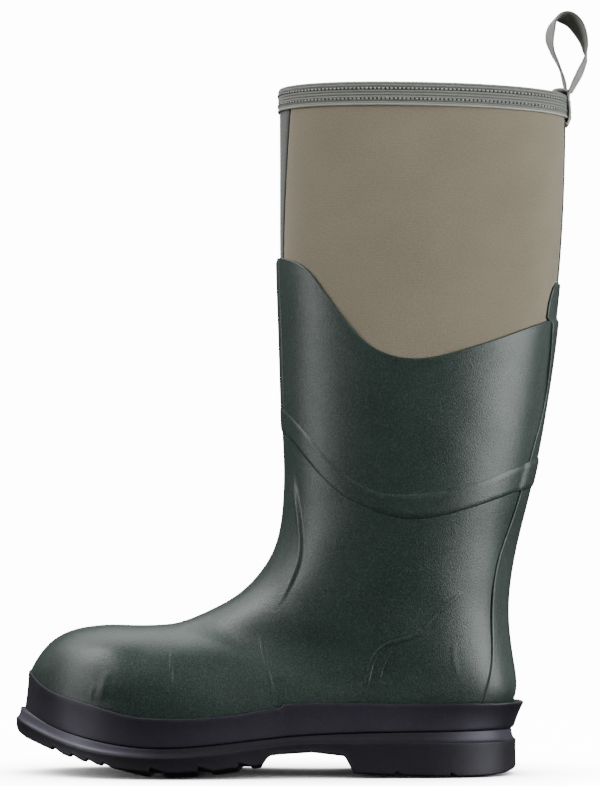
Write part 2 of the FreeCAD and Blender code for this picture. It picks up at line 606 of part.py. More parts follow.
def binding_stitching():
    """Two rows of thread through the binding, outside and inside, stopping short of the pull loop's ends."""
    rows = []
    behind = box((100.0, 200.0), (-WEB_WIDTH / 2 - 1, WEB_WIDTH / 2 + 1), (300.0, 500.0))
    for low in STITCH_ROWS:
        slab = above_topline(low + THREAD / 2).cut(above_topline(low - THREAD / 2)).cut(behind)
        for outer, inner in ((BINDING_OUT - 0.4, BINDING_OUT - 0.05), (BINDING_IN + 0.05, BINDING_IN + 0.4)):
            rows += wall_patch(slab, outer, inner).Solids
    return Part.makeCompound(rows)


# ---------------------------------------------------------------- pull loop
PIVOT = (162.2, 407.6)       # the pinch at the top of the back, where the loop bends over
KNUCKLE = 1.2                # radius of the rolled webbing there
TAB = 1.2                    # thickness of the webbing where it is pressed flat and sewn
LOOP_LINE = [(161.1, 410.7), (158.2, 416.5), (153.5, 424.0), (149.6, 433.0), (149.5, 443.0), (153.2, 450.4),
             (161.0, 454.3), (167.4, 450.0), (170.3, 440.0), (169.0, 428.5), (166.0, 418.5), (163.3, 410.7)]


def web(line, thick):
    """Flat webbing whose middle follows a side-view line."""
    curve = Part.BSplineCurve()
    curve.interpolate([V(x, -WEB_WIDTH / 2, z) for x, z in line])
    first, last = curve.FirstParameter, curve.LastParameter
    count = 6 * len(line)
    left, right = [], []
    for k in range(count + 1):
        at = first + (last - first) * k / count
        p, t = curve.value(at), curve.tangent(at)[0]
        n = V(-t.z, 0, t.x) * (thick / 2)
        left.append(p + n)
        right.append(p - n)
    one, two = Part.BSplineCurve(), Part.BSplineCurve()
    one.interpolate(left)
    two.interpolate(right)
    edges = [one.toShape(), Part.makeLine(left[-1], right[-1]), two.toShape(), Part.makeLine(right[0], left[0])]
    return Part.Face(Part.Wire(Part.__sortEdges__(edges))).extrude(V(0, WEB_WIDTH, 0))


def pull_loop():
    """The free loop of webbing, which flops about the pinch at its foot."""
    return web(LOOP_LINE, WEB)


def knuckle(radius):
    """A bar along the pinch."""
    return Part.makeCylinder(radius, WEB_WIDTH, V(PIVOT[0], -WEB_WIDTH / 2, PIVOT[1]), V(0, 1, 0))


def loop_tab_outer():
    """The sewn end of the webbing down the outside of the binding, with the roll at the pinch."""
    region = box((100.0, 200.0), (-WEB_WIDTH / 2, WEB_WIDTH / 2), (388.5, PIVOT[1]))
    strip = wall_patch(region, BINDING_OUT - GAP - TAB, BINDING_OUT - GAP)
    return solids_of(strip.fuse(knuckle(KNUCKLE)).removeSplitter())


def loop_tab_inner():
    """The other end, over the top edge and down the inside of the binding."""
    region = box((100.0, 160.2), (-WEB_WIDTH / 2, WEB_WIDTH / 2), (392.0, 420.0))
    strip = wall_patch(region, BINDING_OUT - GAP, BINDING_IN + GAP + TAB).cut(above_topline(-GAP - TAB))
    tape = wall_patch(region, BINDING_OUT - 2.0, BINDING_IN + GAP).cut(above_topline(-GAP))
    return solids_of(strip.cut(tape).cut(knuckle(KNUCKLE + GAP)))


def bartacks():
    """Bars of dense stitching across the outer end of the webbing."""
    bars = []
    for z in (391.0, 400.0):
        region = box((100.0, 200.0), (-7.5, 7.5), (z, z + 1.4))
        bars.append(wall_patch(region, BINDING_OUT - GAP - TAB - 0.5, BINDING_OUT - GAP - TAB - 0.1))
    return Part.makeCompound(bars)


# ---------------------------------------------------------------- all parts
def main():
    parts = {}
    parts["outsole"] = outsole()
    parts["insole_board"] = insole_board()
    parts["shank"] = shank()
    parts["midsole"] = midsole()
    parts["toe_bumper"], parts["heel_foxing"] = foxing()
    parts["rubber_shell"] = rubber_shell()
    parts["heel_spine_strip"] = heel_spine_strip()
    parts["calf_band"] = calf_band()
    parts["shin_strip"] = shin_strip()
    parts["instep_overlay"] = instep_overlay()
    (parts["neoprene_panel_lateral"], parts["neoprene_panel_medial"], parts["front_gusset"], parts["back_gusset"],
     parts["seam_piping"]) = shaft_parts()
    parts["sock_foot"] = sock_foot()
    parts["toe_cap"] = toe_cap()
    parts["toe_cap_edge"] = toe_cap_edge()
    parts["heel_counter"] = heel_counter()
    parts["lining_shaft"], parts["lining_foot"] = lining_parts()
    parts["footbed"], parts["footbed_cover"] = footbed_parts()
    parts["top_binding"] = top_binding()
    parts["binding_stitching"] = binding_stitching()
    parts["pull_loop"] = pull_loop()
    parts["loop_tab_outer"] = loop_tab_outer()
    parts["loop_tab_inner"] = loop_tab_inner()
    parts["loop_bartacks"] = bartacks()

    os.makedirs("parts", exist_ok=True)
    whole = None
    for name, shape in parts.items():
        shape.exportStep("parts/" + name + ".step")
        b = shape.BoundBox
        whole = b if whole is None else whole.united(b)
        print(f"{name:24s} solids {len(shape.Solids):3d} valid {shape.isValid()} volume {shape.Volume:10.1f}"
              f"  x {b.XMin:7.1f} {b.XMax:7.1f}  y {b.YMin:6.1f} {b.YMax:6.1f}  z {b.ZMin:6.1f} {b.ZMax:6.1f}")
    print("box", whole)


if __name__ == "__main__":
    main()
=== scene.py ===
"""Looks of the insulated boot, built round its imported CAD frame. Lengths are mm until a mesh is made."""

import math

import bmesh
import bpy
import numpy as np
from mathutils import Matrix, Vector
from mathutils.bvhtree import BVHTree


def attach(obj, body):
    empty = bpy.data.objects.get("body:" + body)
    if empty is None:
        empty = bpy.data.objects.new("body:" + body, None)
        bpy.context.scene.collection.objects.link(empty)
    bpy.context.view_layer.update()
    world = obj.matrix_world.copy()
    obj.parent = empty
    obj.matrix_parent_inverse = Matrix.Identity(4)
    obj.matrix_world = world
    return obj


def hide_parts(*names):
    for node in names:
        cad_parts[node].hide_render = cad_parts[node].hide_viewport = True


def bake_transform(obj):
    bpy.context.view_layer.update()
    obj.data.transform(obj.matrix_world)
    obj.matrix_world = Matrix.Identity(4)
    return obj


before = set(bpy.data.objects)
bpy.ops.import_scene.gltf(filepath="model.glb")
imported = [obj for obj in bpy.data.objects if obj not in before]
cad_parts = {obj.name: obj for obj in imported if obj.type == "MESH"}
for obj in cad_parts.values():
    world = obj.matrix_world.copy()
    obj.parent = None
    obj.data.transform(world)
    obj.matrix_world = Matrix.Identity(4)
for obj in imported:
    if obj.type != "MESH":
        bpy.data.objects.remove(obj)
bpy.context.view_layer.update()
rng = np.random.default_rng(7)
MM = 0.001
FINE = 1.0


def some(count):
    return max(8, int(count * FINE))


# ---------------------------------------------------------------- the body of rings, as in the CAD
# Front point and back point (x, z), how far back the widest place is, y of the outer and of the inner side,
# and the squareness of the front half and of the back half.
RINGS = [
    ((-15.2, 425), (160.6, 425), 0.52, -52, 52, 2.15, 2.15),
    ((-15.2, 360), (160.2, 352), 0.52, -52, 52, 2.15, 2.15),
    ((-15, 305), (156.9, 300), 0.52, -51.5, 51.5, 2.15, 2.15),
    ((-13.6, 262), (152.2, 258), 0.53, -50.5, 50.5, 2.15, 2.15),
    ((-12.3, 222), (146.4, 220), 0.54, -49.5, 49.5, 2.15, 2.15),
    ((-10.9, 188), (140.4, 186), 0.54, -48, 48, 2.15, 2.15),
    ((-11, 162), (134, 160), 0.55, -46.5, 46.5, 2.15, 2.2),
    ((-14.4, 138.5), (128, 136), 0.55, -45, 45, 2.15, 2.2),
    ((-23.5, 120.5), (124, 112), 0.56, -43.5, 43.5, 2.1, 2.3),
    ((-37, 107), (123, 90), 0.58, -42, 42, 2.1, 2.4),
    ((-51.5, 98.2), (125.6, 66), 0.59, -41, 41, 2.1, 2.6),
    ((-64.5, 92.4), (126.6, 47), 0.59, -39.8, 39.2, 2.1, 2.8),
    ((-74, 89.2), (114, 31.8), 0.55, -39.6, 38.6, 2.1, 2.9),
    ((-81.5, 88), (80, 29.2), 0.55, -40.4, 38.8, 2.1, 3),
    ((-93, 87.5), (0, 26.5), 0.59, -44.6, 41.8, 2.15, 3.3),
    ((-104, 87.8), (-55, 22.5), 0.66, -48.6, 46.8, 2.2, 3.8),
    ((-116, 88), (-95, 21.5), 0.69, -47, 49, 2.3, 4),
    ((-128, 86.7), (-121, 25), 0.68, -41, 48, 2.4, 3.8),
    ((-140, 83.4), (-140, 31.5), 0.66, -31.5, 44, 2.5, 3.4),
    ((-150.5, 77), (-152.5, 38), 0.62, -19.5, 36, 2.5, 3),
    ((-158.4, 67.5), (-159.4, 44), 0.56, -6.5, 23, 2.4, 2.6),
    ((-162.2, 59.5), (-162.4, 50), 0.50, 3.5, 14, 2.2, 2.2),
]
AROUND = 28  # control points round a ring
TIP_X = -162.8
TOP_FRONT, TOP_BACK = (-15.2, 409.5), (160.6, 405.3)
SHAFT_GIRTH = 440.0  # round the top of the shaft


def unit(a):
    """Vectors of length 1."""
    return a / np.linalg.norm(a, axis=-1, keepdims=True)


def ring_tables():
    """Points of every ring on the outside of the rubber, and how far each moves per millimetre of depth."""
    last = len(RINGS) - 1
    keys = [[], [], [], []]
    for i, (f, b, share, y_outer, y_inner, _, _) in enumerate(RINGS):
        middle = (y_outer + y_inner) / 2
        xf, xb = (TIP_X, TIP_X) if i == last else (f[0], b[0])
        x, z = xf + share * (xb - xf), f[1] + share * (b[1] - f[1])
        points = (xf, middle, f[1]), (xb, middle, b[1]), (x, y_outer, z), (x, y_inner, z)
        for key, point in zip(keys, points):
            key.append(point)
    keys = [np.array(k, float) for k in keys]
    normals = []
    for k, tip_way in enumerate(((0, 0, -1), (0, 0, 1), (0, 1, 0), (0, -1, 0))):
        ways = np.zeros_like(keys[k])
        ways[1:-1] = keys[k][2:] - keys[k][:-2]
        ways[0], ways[-1] = (0, 0, -1), tip_way
        across = np.array([[0.0, 1.0, 0.0]]) if k < 2 else unit(keys[1] - keys[0])
        n = np.cross(ways, across)
        n *= np.where(np.sum(n * ((keys[2] + keys[3]) / 2 - keys[k]), axis=1) < 0, -1, 1)[:, None]
        n[-1] = (1, 0, 0)
        normals.append(unit(n))

    def rings(inset):
        """Points round every ring, moved inwards."""
        f, b, o, n = (keys[k] + normals[k] * inset for k in range(4))
        centre = (o + n) / 2
        turn = 2 * math.pi * np.arange(AROUND) / AROUND
        c, s = np.cos(turn), np.sin(turn)
        square = np.array([[r[5], r[6]] for r in RINGS])
        power = 2 / np.where(c > 0, square[:, :1], square[:, 1:])
        along = np.where(c[None, :, None] > 1e-12, (f - centre)[:, None], (b - centre)[:, None])
        side = np.where(s[None, :, None] > 1e-12, (o - centre)[:, None], (n - centre)[:, None])
        reach_c, reach_s = np.abs(c) ** power, np.abs(s) ** power
        reach_c[:, np.abs(c) < 1e-9] = 0
        reach_s[:, np.abs(s) < 1e-9] = 0
        return centre[:, None] + along * reach_c[..., None] + side * reach_s[..., None]

    return rings(0.0), rings(1.0) - rings(0.0)


def slopes(knots):
    """Matrix from values at the knots to slopes of the smooth curve through them."""
    n, h = len(knots), np.diff(knots)
    left, right = np.zeros((n, n)), np.zeros((n, n))
    for i in range(1, n - 1):
        a, b = h[i - 1], h[i]
        left[i, i - 1:i + 2] = b, 2 * (a + b), a
        right[i, i - 1:i + 2] = -3 * b / a, 3 * (b / a - a / b), 3 * a / b
    for i, sign, a, b in ((0, 1, h[0], h[1]), (n - 1, -1, h[-1], h[-2])):
        left[i, i] = 1
        right[i, i] = -sign * (2 * a + b) / (a * (a + b))
        right[i, i + sign] = sign * (a + b) / (a * b)
        right[i, i + 2 * sign] = -sign * a / (b * (a + b))
    return np.linalg.solve(left, right)


def ring_slopes(n):
    """The same for n evenly spaced values round a closed curve whose whole turn is 1."""
    ahead, behind = np.roll(np.eye(n), 1, axis=1), np.roll(np.eye(n), -1, axis=1)
    return np.linalg.solve(4 * np.eye(n) + ahead + behind, 3 * n * (ahead - behind))


def hermite(u):
    """Weights of two end values and two end slopes of a cubic at a share u of the way."""
    return (1 + 2 * u) * (1 - u) ** 2, u ** 2 * (3 - 2 * u), u * (1 - u) ** 2, u ** 2 * (u - 1)


BASE, PER_MM = ring_tables()
ring_gaps = np.linalg.norm(np.diff(BASE, axis=0), axis=2).mean(axis=1)
SPACING = np.concatenate([[0], np.cumsum(ring_gaps)]) / ring_gaps.sum()
LENGTH = ring_gaps.sum()
DOWN, ROUND = slopes(SPACING), ring_slopes(AROUND)
TABLES = [(t, np.einsum("ij,jkc->ikc", DOWN, t), np.einsum("kl,ilc->ikc", ROUND, t),
           np.einsum("ij,kl,jlc->ikc", DOWN, ROUND, t)) for t in (BASE, PER_MM)]


def skin(v, t, depth=0.0):
    """Points of the boot: v runs from its top to the toe, t round it from the front by the outer side."""
    v, t, depth = np.broadcast_arrays(np.asarray(v, float), np.asarray(t, float), np.asarray(depth, float))
    i = np.clip(np.searchsorted(SPACING, v, side="right") - 1, 0, len(SPACING) - 2)
    step = SPACING[i + 1] - SPACING[i]
    along = hermite((v - SPACING[i]) / step)
    w = (t % 1.0) * AROUND
    j = np.minimum(w.astype(int), AROUND - 1)
    turning = hermite(w - j)
    out = np.zeros(v.shape + (3,))
    for a in (0, 1):
        for b in (0, 1):
            row, col = i + a, (j + b) % AROUND
            weights = (along[a] * turning[b], step * along[2 + a] * turning[b],
                       along[a] * turning[2 + b] / AROUND, step * along[2 + a] * turning[2 + b] / AROUND)
            for weight, base, per_depth in zip(weights, *TABLES):
                out += weight[..., None] * (base[row, col] + depth[..., None] * per_depth[row, col])
    return out


def run_along(points):
    """Distance along a line at each of its points."""
    return np.concatenate([[0], np.cumsum(np.linalg.norm(np.diff(points, axis=0), axis=1))])


def smooth_line(points, count=500):
    """A dense smooth curve through a few points."""
    p = np.asarray(points, float)
    chord = run_along(p)
    m = slopes(chord) @ p
    s = np.linspace(0, chord[-1], count)
    i = np.clip(np.searchsorted(chord, s, side="right") - 1, 0, len(p) - 2)
    h = (chord[i + 1] - chord[i])[:, None]
    a, b, c, d = hermite((s - chord[i])[:, None] / h)
    return a * p[i] + b * p[i + 1] + h * (c * m[i] + d * m[i + 1])


def reader(points, key=0):
    """A function that gives the other coordinate of a side-view curve."""
    line = smooth_line(points)
    order = np.argsort(line[:, key])
    return lambda q: np.interp(q, line[order, key], line[order, 1 - key])


def smoothstep(low, high, x):
    """0 up to low and 1 from high on, with a smooth rise between."""
    u = np.clip((x - low) / (high - low), 0, 1)
    return u * u * (3 - 2 * u)


def window(x, a, b, c, d):
    """1 between b and c, falling smoothly to 0 at a and at d."""
    return smoothstep(a, b, x) * (1 - smoothstep(c, d, x))


shell_edge = reader([(-60, 307.5), (-14, 307), (0, 300.5), (12, 286), (26, 267), (40, 252.5), (63, 244.8),
                     (92, 249.2), (118, 257.5), (145, 267.5), (200, 285)])
spine_low = reader([(96, 20), (105, 44), (110.4, 61.7), (111.3, 88), (112.4, 112), (115.4, 127),
                    (121.6, 144.5), (129.3, 168), (137.4, 195), (143.6, 217), (146.8, 240), (148.3, 262)],
                   key=1)


def spine_edge(z):
    """Front edge of the strip up the back. It widens a little where it runs on over the neoprene."""
    top = np.interp(z, [261.0, 267.5, 270.0, 279.4, 284.7, 288.4, 291.2, 292.6],
                    [148.2, 148.6, 146.6, 148.0, 149.6, 150.9, 153.0, 156.0])
    return np.where(z < 261.0, spine_low(z), top)


band_top = reader([(-40, 238), (-14, 220.5), (10, 193.5), (37, 170.5), (63, 165.5), (96, 170.5),
                   (131, 183.5), (170, 203)])
band_bottom = reader([(-40, 226), (-12, 203.5), (13.5, 173), (37, 156.5), (62, 150.5), (96, 156),
                      (128, 167), (170, 184)])


def under_top(drop):
    """The side-view line at a distance under the top edge."""
    slope = (TOP_BACK[1] - TOP_FRONT[1]) / (TOP_BACK[0] - TOP_FRONT[0])
    return lambda x: TOP_FRONT[1] + (x - TOP_FRONT[0]) * slope - drop


def crossing(f, at):
    """Where along at each column of f first turns from positive to not positive."""
    k = np.maximum(np.argmax(f <= 0, axis=0), 1)
    k = np.where((f > 0).all(axis=0), len(at) - 1, k)
    c = np.arange(f.shape[1])
    a, b = f[k - 1, c], f[k, c]
    share = np.clip(a / np.where(a == b, 1, a - b), 0, 1)
    return at[k - 1] + (at[k] - at[k - 1]) * share


def down_to(t, height, depth=0.0):
    """v in each column t where the body falls to a height or to a side-view curve."""
    v = np.linspace(0, 1, 500)
    p = skin(v[:, None], np.atleast_1d(t)[None, :], depth)
    return crossing(p[..., 2] - (height(p[..., 0]) if callable(height) else height), v)


def across_to(v, t_from, t_to, f, depth=0.0):
    """t in each row v where f of the point first falls to zero on the way from t_from to t_to."""
    t = np.linspace(t_from, t_to, 120)
    return crossing(f(skin(v[None, :], t[:, None], depth)), t)


def per_mm(v, t):
    """How much v changes for each millimetre down the body."""
    return 0.004 / np.linalg.norm(skin(v + 0.004, t) - skin(v, t), axis=-1)


def columns(count):
    """Places round the boot, evenly spaced from the front."""
    return np.arange(some(count)) / some(count)


def circle(count):
    """Angles of a few points round a section."""
    return np.linspace(0, 2 * math.pi, count + 1)[:-1]


# ---------------------------------------------------------------- meshes
LOOKS = {}  # the materials, by the name of their slot


def grid_quads(rows, cols, wrap_cols=False, wrap_rows=False):
    """Faces between neighbouring points of a grid."""
    r = np.arange(rows if wrap_rows else rows - 1)[:, None]
    c = np.arange(cols if wrap_cols else cols - 1)[None, :]
    r2, c2 = (r + 1) % rows, (c + 1) % cols
    return np.stack([r * cols + c, r * cols + c2, r2 * cols + c2, r2 * cols + c], -1).reshape(-1, 4)


def weave(across, along):
    """The cloth attribute: millimetres across and along the weave at every point."""
    across, along = np.broadcast_arrays(across, along)
    return np.stack([across, along, 0.0 * along], -1).reshape(-1, 3)


def add_mesh(name, points, quads, tris=(), slot=None, nodes=(), cloth=None, body="boot"):
    """A smooth-shaded mesh from millimetre points, riding on a body and standing for CAD nodes."""
    quads = np.asarray(quads, np.int32).reshape(-1, 4)
    tris = np.asarray(tris, np.int32).reshape(-1, 3)
    points = np.asarray(points, float).reshape(-1, 3)
    me = bpy.data.meshes.new(name)
    me.vertices.add(len(points))
    me.vertices.foreach_set("co", (points * MM).ravel())
    me.loops.add(quads.size + tris.size)
    me.loops.foreach_set("vertex_index", np.concatenate([quads.ravel(), tris.ravel()]))
    me.polygons.add(len(quads) + len(tris))
    me.polygons.foreach_set("loop_start", np.concatenate(
        [np.arange(len(quads)) * 4, quads.size + np.arange(len(tris)) * 3]).astype(np.int32))
    me.update(calc_edges=True)
    me.validate()
    if cloth is not None:
        way = me.attributes.new("cloth", "FLOAT_VECTOR", "POINT")
        way.data.foreach_set("vector", np.asarray(cloth, np.float32).ravel())
    bm = bmesh.new()
    bm.from_mesh(me)
    bmesh.ops.recalc_face_normals(bm, faces=bm.faces)
    bm.to_mesh(me)
    bm.free()
    me.polygons.foreach_set("use_smooth", np.ones(len(me.polygons), bool))
    obj = bpy.data.objects.new(name, me)
    bpy.context.scene.collection.objects.link(obj)
    me.materials.append(LOOKS[slot])
    if body:
        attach(obj, body)
    if nodes:
        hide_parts(*nodes)
    return obj


def slab(name, outer, inner, wrap=False, **how):
    """A closed wall between two grids of points of the same size."""
    rows, cols = outer.shape[:2]
    n = rows * cols
    faces = [grid_quads(rows, cols, wrap), grid_quads(rows, cols, wrap)[:, ::-1] + n]
    rims = [np.arange(cols), np.arange(cols) + (rows - 1) * cols]
    if not wrap:
        rims += [np.arange(rows) * cols, np.arange(rows) * cols + cols - 1]
    for rim in rims:
        a, b = (rim, np.roll(rim, -1)) if wrap else (rim[:-1], rim[1:])
        faces.append(np.stack([a, b, b + n, a + n], -1))
    points = np.concatenate([outer.reshape(-1, 3), inner.reshape(-1, 3)])
    return add_mesh(name, points, np.concatenate(faces), **how)


def bag(name, rows, cloth=None, **how):
    """A closed skin from rows of points round the boot, closed with a fan at both ends."""
    r, c = rows.shape[:2]
    points = np.concatenate([rows.reshape(-1, 3), rows[:1].mean(axis=1), rows[-1:].mean(axis=1)])
    if cloth is not None:
        cloth = np.concatenate([cloth, cloth[:1], cloth[:1]])
    k = np.arange(c)
    k2 = (k + 1) % c
    fans = [np.stack([k, k2, np.full(c, r * c)], -1),
            np.stack([k + (r - 1) * c, k2 + (r - 1) * c, np.full(c, r * c + 1)], -1)]
    return add_mesh(name, points, grid_quads(r, c, True), np.concatenate(fans), cloth=cloth, **how)


def ring(name, rows, wrap_cols=True, cloth=None, **how):
    """A closed skin whose profile is a loop of rows. Without wrap_cols its two ends are capped."""
    r, c = rows.shape[:2]
    points, tris = rows.reshape(-1, 3), []
    if not wrap_cols:
        points = np.concatenate([points, rows[:, :1].mean(axis=0), rows[:, -1:].mean(axis=0)])
        if cloth is not None:
            cloth = np.concatenate([cloth, np.zeros((2, 3))])
        k = np.arange(r) * c
        k2 = np.roll(k, -1)
        tris = np.concatenate([np.stack([k, k2, np.full(r, r * c)], -1),
                               np.stack([k + c - 1, k2 + c - 1, np.full(r, r * c + 1)], -1)])
    return add_mesh(name, points, grid_quads(r, c, wrap_cols, True), tris, cloth=cloth, **how)


def end_faces(e):
    """Quads that close a small loop of an even number of points."""
    return np.array([[e[1 - k], e[k], e[k + 1], e[-k]] for k in range(1, len(e) // 2)])


def tubes(name, each, **how):
    """One mesh of closed tubes, each given as rows of points (around, stations)."""
    points, quads, start = [], [], 0
    for rows in each:
        around, stations = rows.shape[:2]
        first = np.arange(around) * stations + start
        quads += [grid_quads(around, stations, False, True) + start, end_faces(first),
                  end_faces(first + stations - 1)]
        points.append(rows.reshape(-1, 3))
        start += around * stations
    return add_mesh(name, np.concatenate(points), np.concatenate(quads), **how)


def side_distance(points, line):
    """Distance in side view from points to a dense line, and how far along it the nearest place is."""
    xz = points[:, [0, 2]]
    seg = line[::max(1, len(line) // 60)]
    a, d = seg[:-1], np.diff(seg, axis=0)
    best, where = np.full(len(xz), 1e9), np.zeros(len(xz))
    for k, (p, w) in enumerate(zip(a, d)):
        s = np.clip((xz - p) @ w / (w @ w), 0, 1)
        gap = np.linalg.norm(xz - p - s[:, None] * w, axis=1)
        near = gap < best
        best[near], where[near] = gap[near], (k + s[near]) / len(a)
    return best, where


# ---------------------------------------------------------------- materials
TAPE_RIB = 1.75        # from rib to rib of the binding tape
WEBBING_HALF = 10.0    # half the width of the pull loop's webbing
FACE_AT = 20.0         # the webbing's two faces lie round plus and minus this across its weave


class Nodes:
    """A node tree under construction."""

    def __init__(self, tree):
        self.tree = tree

    def feed(self, socket, value):
        """Sets a socket, or links it when the value is another node's socket."""
        if isinstance(value, bpy.types.NodeSocket):
            self.tree.links.new(value, socket)
        else:
            socket.default_value = (*value, 1) if isinstance(value, tuple) and len(value) == 3 else value

    def node(self, kind, inputs, **fields):
        """A new node with its inputs fed and its fields set."""
        node = self.tree.nodes.new(kind)
        for key, value in fields.items():
            setattr(node, key, value)
        for key, value in inputs.items():
            self.feed(node.inputs[key], value)
        return node

    def math(self, operation, a, b=0.0):
        return self.node("ShaderNodeMath", {0: a, 1: b}, operation=operation).outputs[0]

    def split(self, vector, axis):
        """One coordinate of a vector."""
        return self.node("ShaderNodeSeparateXYZ", {0: vector}).outputs[axis]


class Paint(Nodes):
    """A procedural material, kept in LOOKS, whose patterns follow the object or its cloth attribute."""

    def __init__(self, name, cloth=False, **fixed):
        material = LOOKS[name] = bpy.data.materials.new(name)
        material.use_nodes = True
        super().__init__(material.node_tree)
        self.shader = next(n for n in self.tree.nodes if n.type == "BSDF_PRINCIPLED")
        self.shade(**fixed)
        self.place = self.cloth() if cloth else self.node("ShaderNodeTexCoord", {}).outputs["Object"]

    def shade(self, **sockets):
        """Feeds inputs of the shader, named with _ for each space."""
        for key, value in sockets.items():
            self.feed(self.shader.inputs[key.replace("_", " ")], value)

    def cloth(self):
        return self.node("ShaderNodeAttribute", {}, attribute_name="cloth").outputs["Vector"]

    def noise(self, scale, detail=3.0, rough=0.55):
        inputs = {"Vector": self.place, "Scale": scale, "Detail": detail, "Roughness": rough}
        return self.node("ShaderNodeTexNoise", inputs).outputs["Fac"]

    def waves(self, pitch, direction, distortion):
        """Bands a pitch apart, in millimetres of cloth."""
        inputs = {"Vector": self.place, "Scale": math.pi * 2 / pitch / 20.0, "Distortion": distortion}
        return self.node("ShaderNodeTexWave", inputs, bands_direction=direction).outputs["Fac"]

    def ramp(self, value, *stops):
        """Colours (or greys) along a value; stops are (position, colour)."""
        n = self.node("ShaderNodeValToRGB", {"Fac": value})
        for element, (at, colour) in zip(n.color_ramp.elements, stops):
            element.position = at
            element.color = (*colour, 1) if isinstance(colour, tuple) else (colour, colour, colour, 1)
        return n.outputs["Color"]

    def mix(self, factor, a, b):
        return self.node("ShaderNodeMix", {0: factor, 6: a, 7: b}, data_type="RGBA").outputs[2]

    def blend(self, a, share, b):
        """share of a and the rest of b."""
        return self.math("ADD", self.math("MULTIPLY", a, share), self.math("MULTIPLY", b, 1 - share))

    def mapped(self, value, low, high):
        """A value from 0 to 1 brought between low and high."""
        inputs = {"Value": value, "To Min": low, "To Max": high}
        return self.node("ShaderNodeMapRange", inputs).outputs["Result"]

    def bump(self, value, depth_mm, strength=1.0):
        """Adds a bump on top of those already there."""
        inputs = {"Strength": strength, "Distance": depth_mm * MM, "Height": value}
        if self.shader.inputs["Normal"].is_linked:
            inputs["Normal"] = self.shader.inputs["Normal"].links[0].from_socket
        self.shade(Normal=self.node("ShaderNodeBump", inputs).outputs["Normal"])


def moulded(name, dark, light, rough, grain=0.05, speck=0.3, bevel=None, **fixed):
    """Moulded rubber: mottled, dusty, uneven in gloss. A bevel marked on the mesh is smoother, and paler as a
    painted highlight.
    """
    p = Paint(name, Roughness=rough[0], **fixed)
    dust = p.ramp(p.noise(1150.0, 2.0, 0.75), (0.48, 0.0), (0.62, 1.0))
    tone = p.mix(p.math("MULTIPLY", dust, speck), p.ramp(p.noise(28.0, 4.0), (0.3, dark), (0.72, light)),
                 tuple(2.6 * c for c in light))
    gloss = p.mapped(p.noise(60.0, 4.0), *rough)
    # the marked bevel is made glossier and painted paler as a highlight
    if bevel:
        mark = p.split(p.cloth(), "X")
        tone = p.mix(mark, tone, bevel)
        gloss = p.math("ADD", gloss, p.math("MULTIPLY", mark, -0.16))
    p.shade(Base_Color=tone, Roughness=gloss)
    p.bump(p.noise(26.0, 2.0), 1.0, 0.25)
    p.bump(p.noise(1500.0, 1.0, 0.5), grain)
    p.bump(p.noise(300.0, 3.0), grain, 0.15)


def knitted(name, dark, light, pitch=0.75, depth=0.16, rough=0.85, sheen=0.25):
    """Knit over foam, with its wales along the cloth's second axis."""
    p = Paint(name, True, Roughness=rough, Sheen_Weight=sheen, Sheen_Roughness=0.5, Specular_IOR_Level=0.25)
    loops = p.math("MULTIPLY", p.waves(pitch, "X", 1.6), p.waves(pitch / 0.8, "Y", 1.6))
    speck = p.noise(1.1, 4.0, 0.75)
    tone = p.ramp(p.blend(speck, 0.8, p.noise(0.03, 3.0)), (0.34, dark), (0.66, light))
    p.shade(Base_Color=p.mix(p.math("MULTIPLY", loops, 0.04), tone, tuple(1.35 * c for c in light)))
    p.bump(loops, depth, 0.4)
    p.bump(speck, depth * 0.8, 0.5)


def woven(name, dark, light, rib=1.4, yarn=0.5, pale_lower_edge=None, inside=None):
    """Narrow woven tape: ribs across and yarns along. Optionally a paler band along its lower edge, and
    optionally a darker inner face as painted shade.
    """
    p = Paint(name, True, Roughness=0.7, Sheen_Weight=0.2, Sheen_Roughness=0.5, Specular_IOR_Level=0.3)
    yarns = p.math("ADD", p.math("MULTIPLY", p.waves(yarn, "X", 0.8), 0.6), 0.4)
    cords = p.math("MULTIPLY", p.waves(rib, "Y", 0.4), yarns)
    tone = p.ramp(p.blend(cords, 0.6, p.noise(0.9, 3.0)), (0.15, dark), (0.75, light))
    # a paler band along the tape's lower edge
    if pale_lower_edge:
        tone = p.mix(p.math("LESS_THAN", p.split(p.place, "Y"), 1.9), tone, pale_lower_edge)
    # the inside colour is painted shade on the webbing's inner face
    if inside:
        x = p.split(p.place, "X")
        from_middle = p.math("ABSOLUTE", p.math("SUBTRACT", p.math("ABSOLUTE", x), FACE_AT))
        edges = p.math("MULTIPLY", p.math("GREATER_THAN", from_middle, 9.3), 0.5)
        tone = p.mix(edges, p.mix(p.math("LESS_THAN", x, 0.0), tone, inside), dark)
    p.shade(Base_Color=tone)
    p.bump(cords, 0.25, 0.8)
    p.bump(p.noise(2.5, 2.0), 0.08, 0.5)


def plain(name, dark, light, rough, scale, depth, **fixed):
    """A hidden part's material: mottled colour, uneven gloss and fine grain."""
    p = Paint(name, Roughness=rough[0], **fixed)
    p.shade(Base_Color=p.ramp(p.noise(scale, 4.0), (0.3, dark), (0.7, light)),
            Roughness=p.mapped(p.noise(scale * 2, 3.0), *rough))
    p.bump(p.noise(scale * 12, 3.0), depth, 0.6)


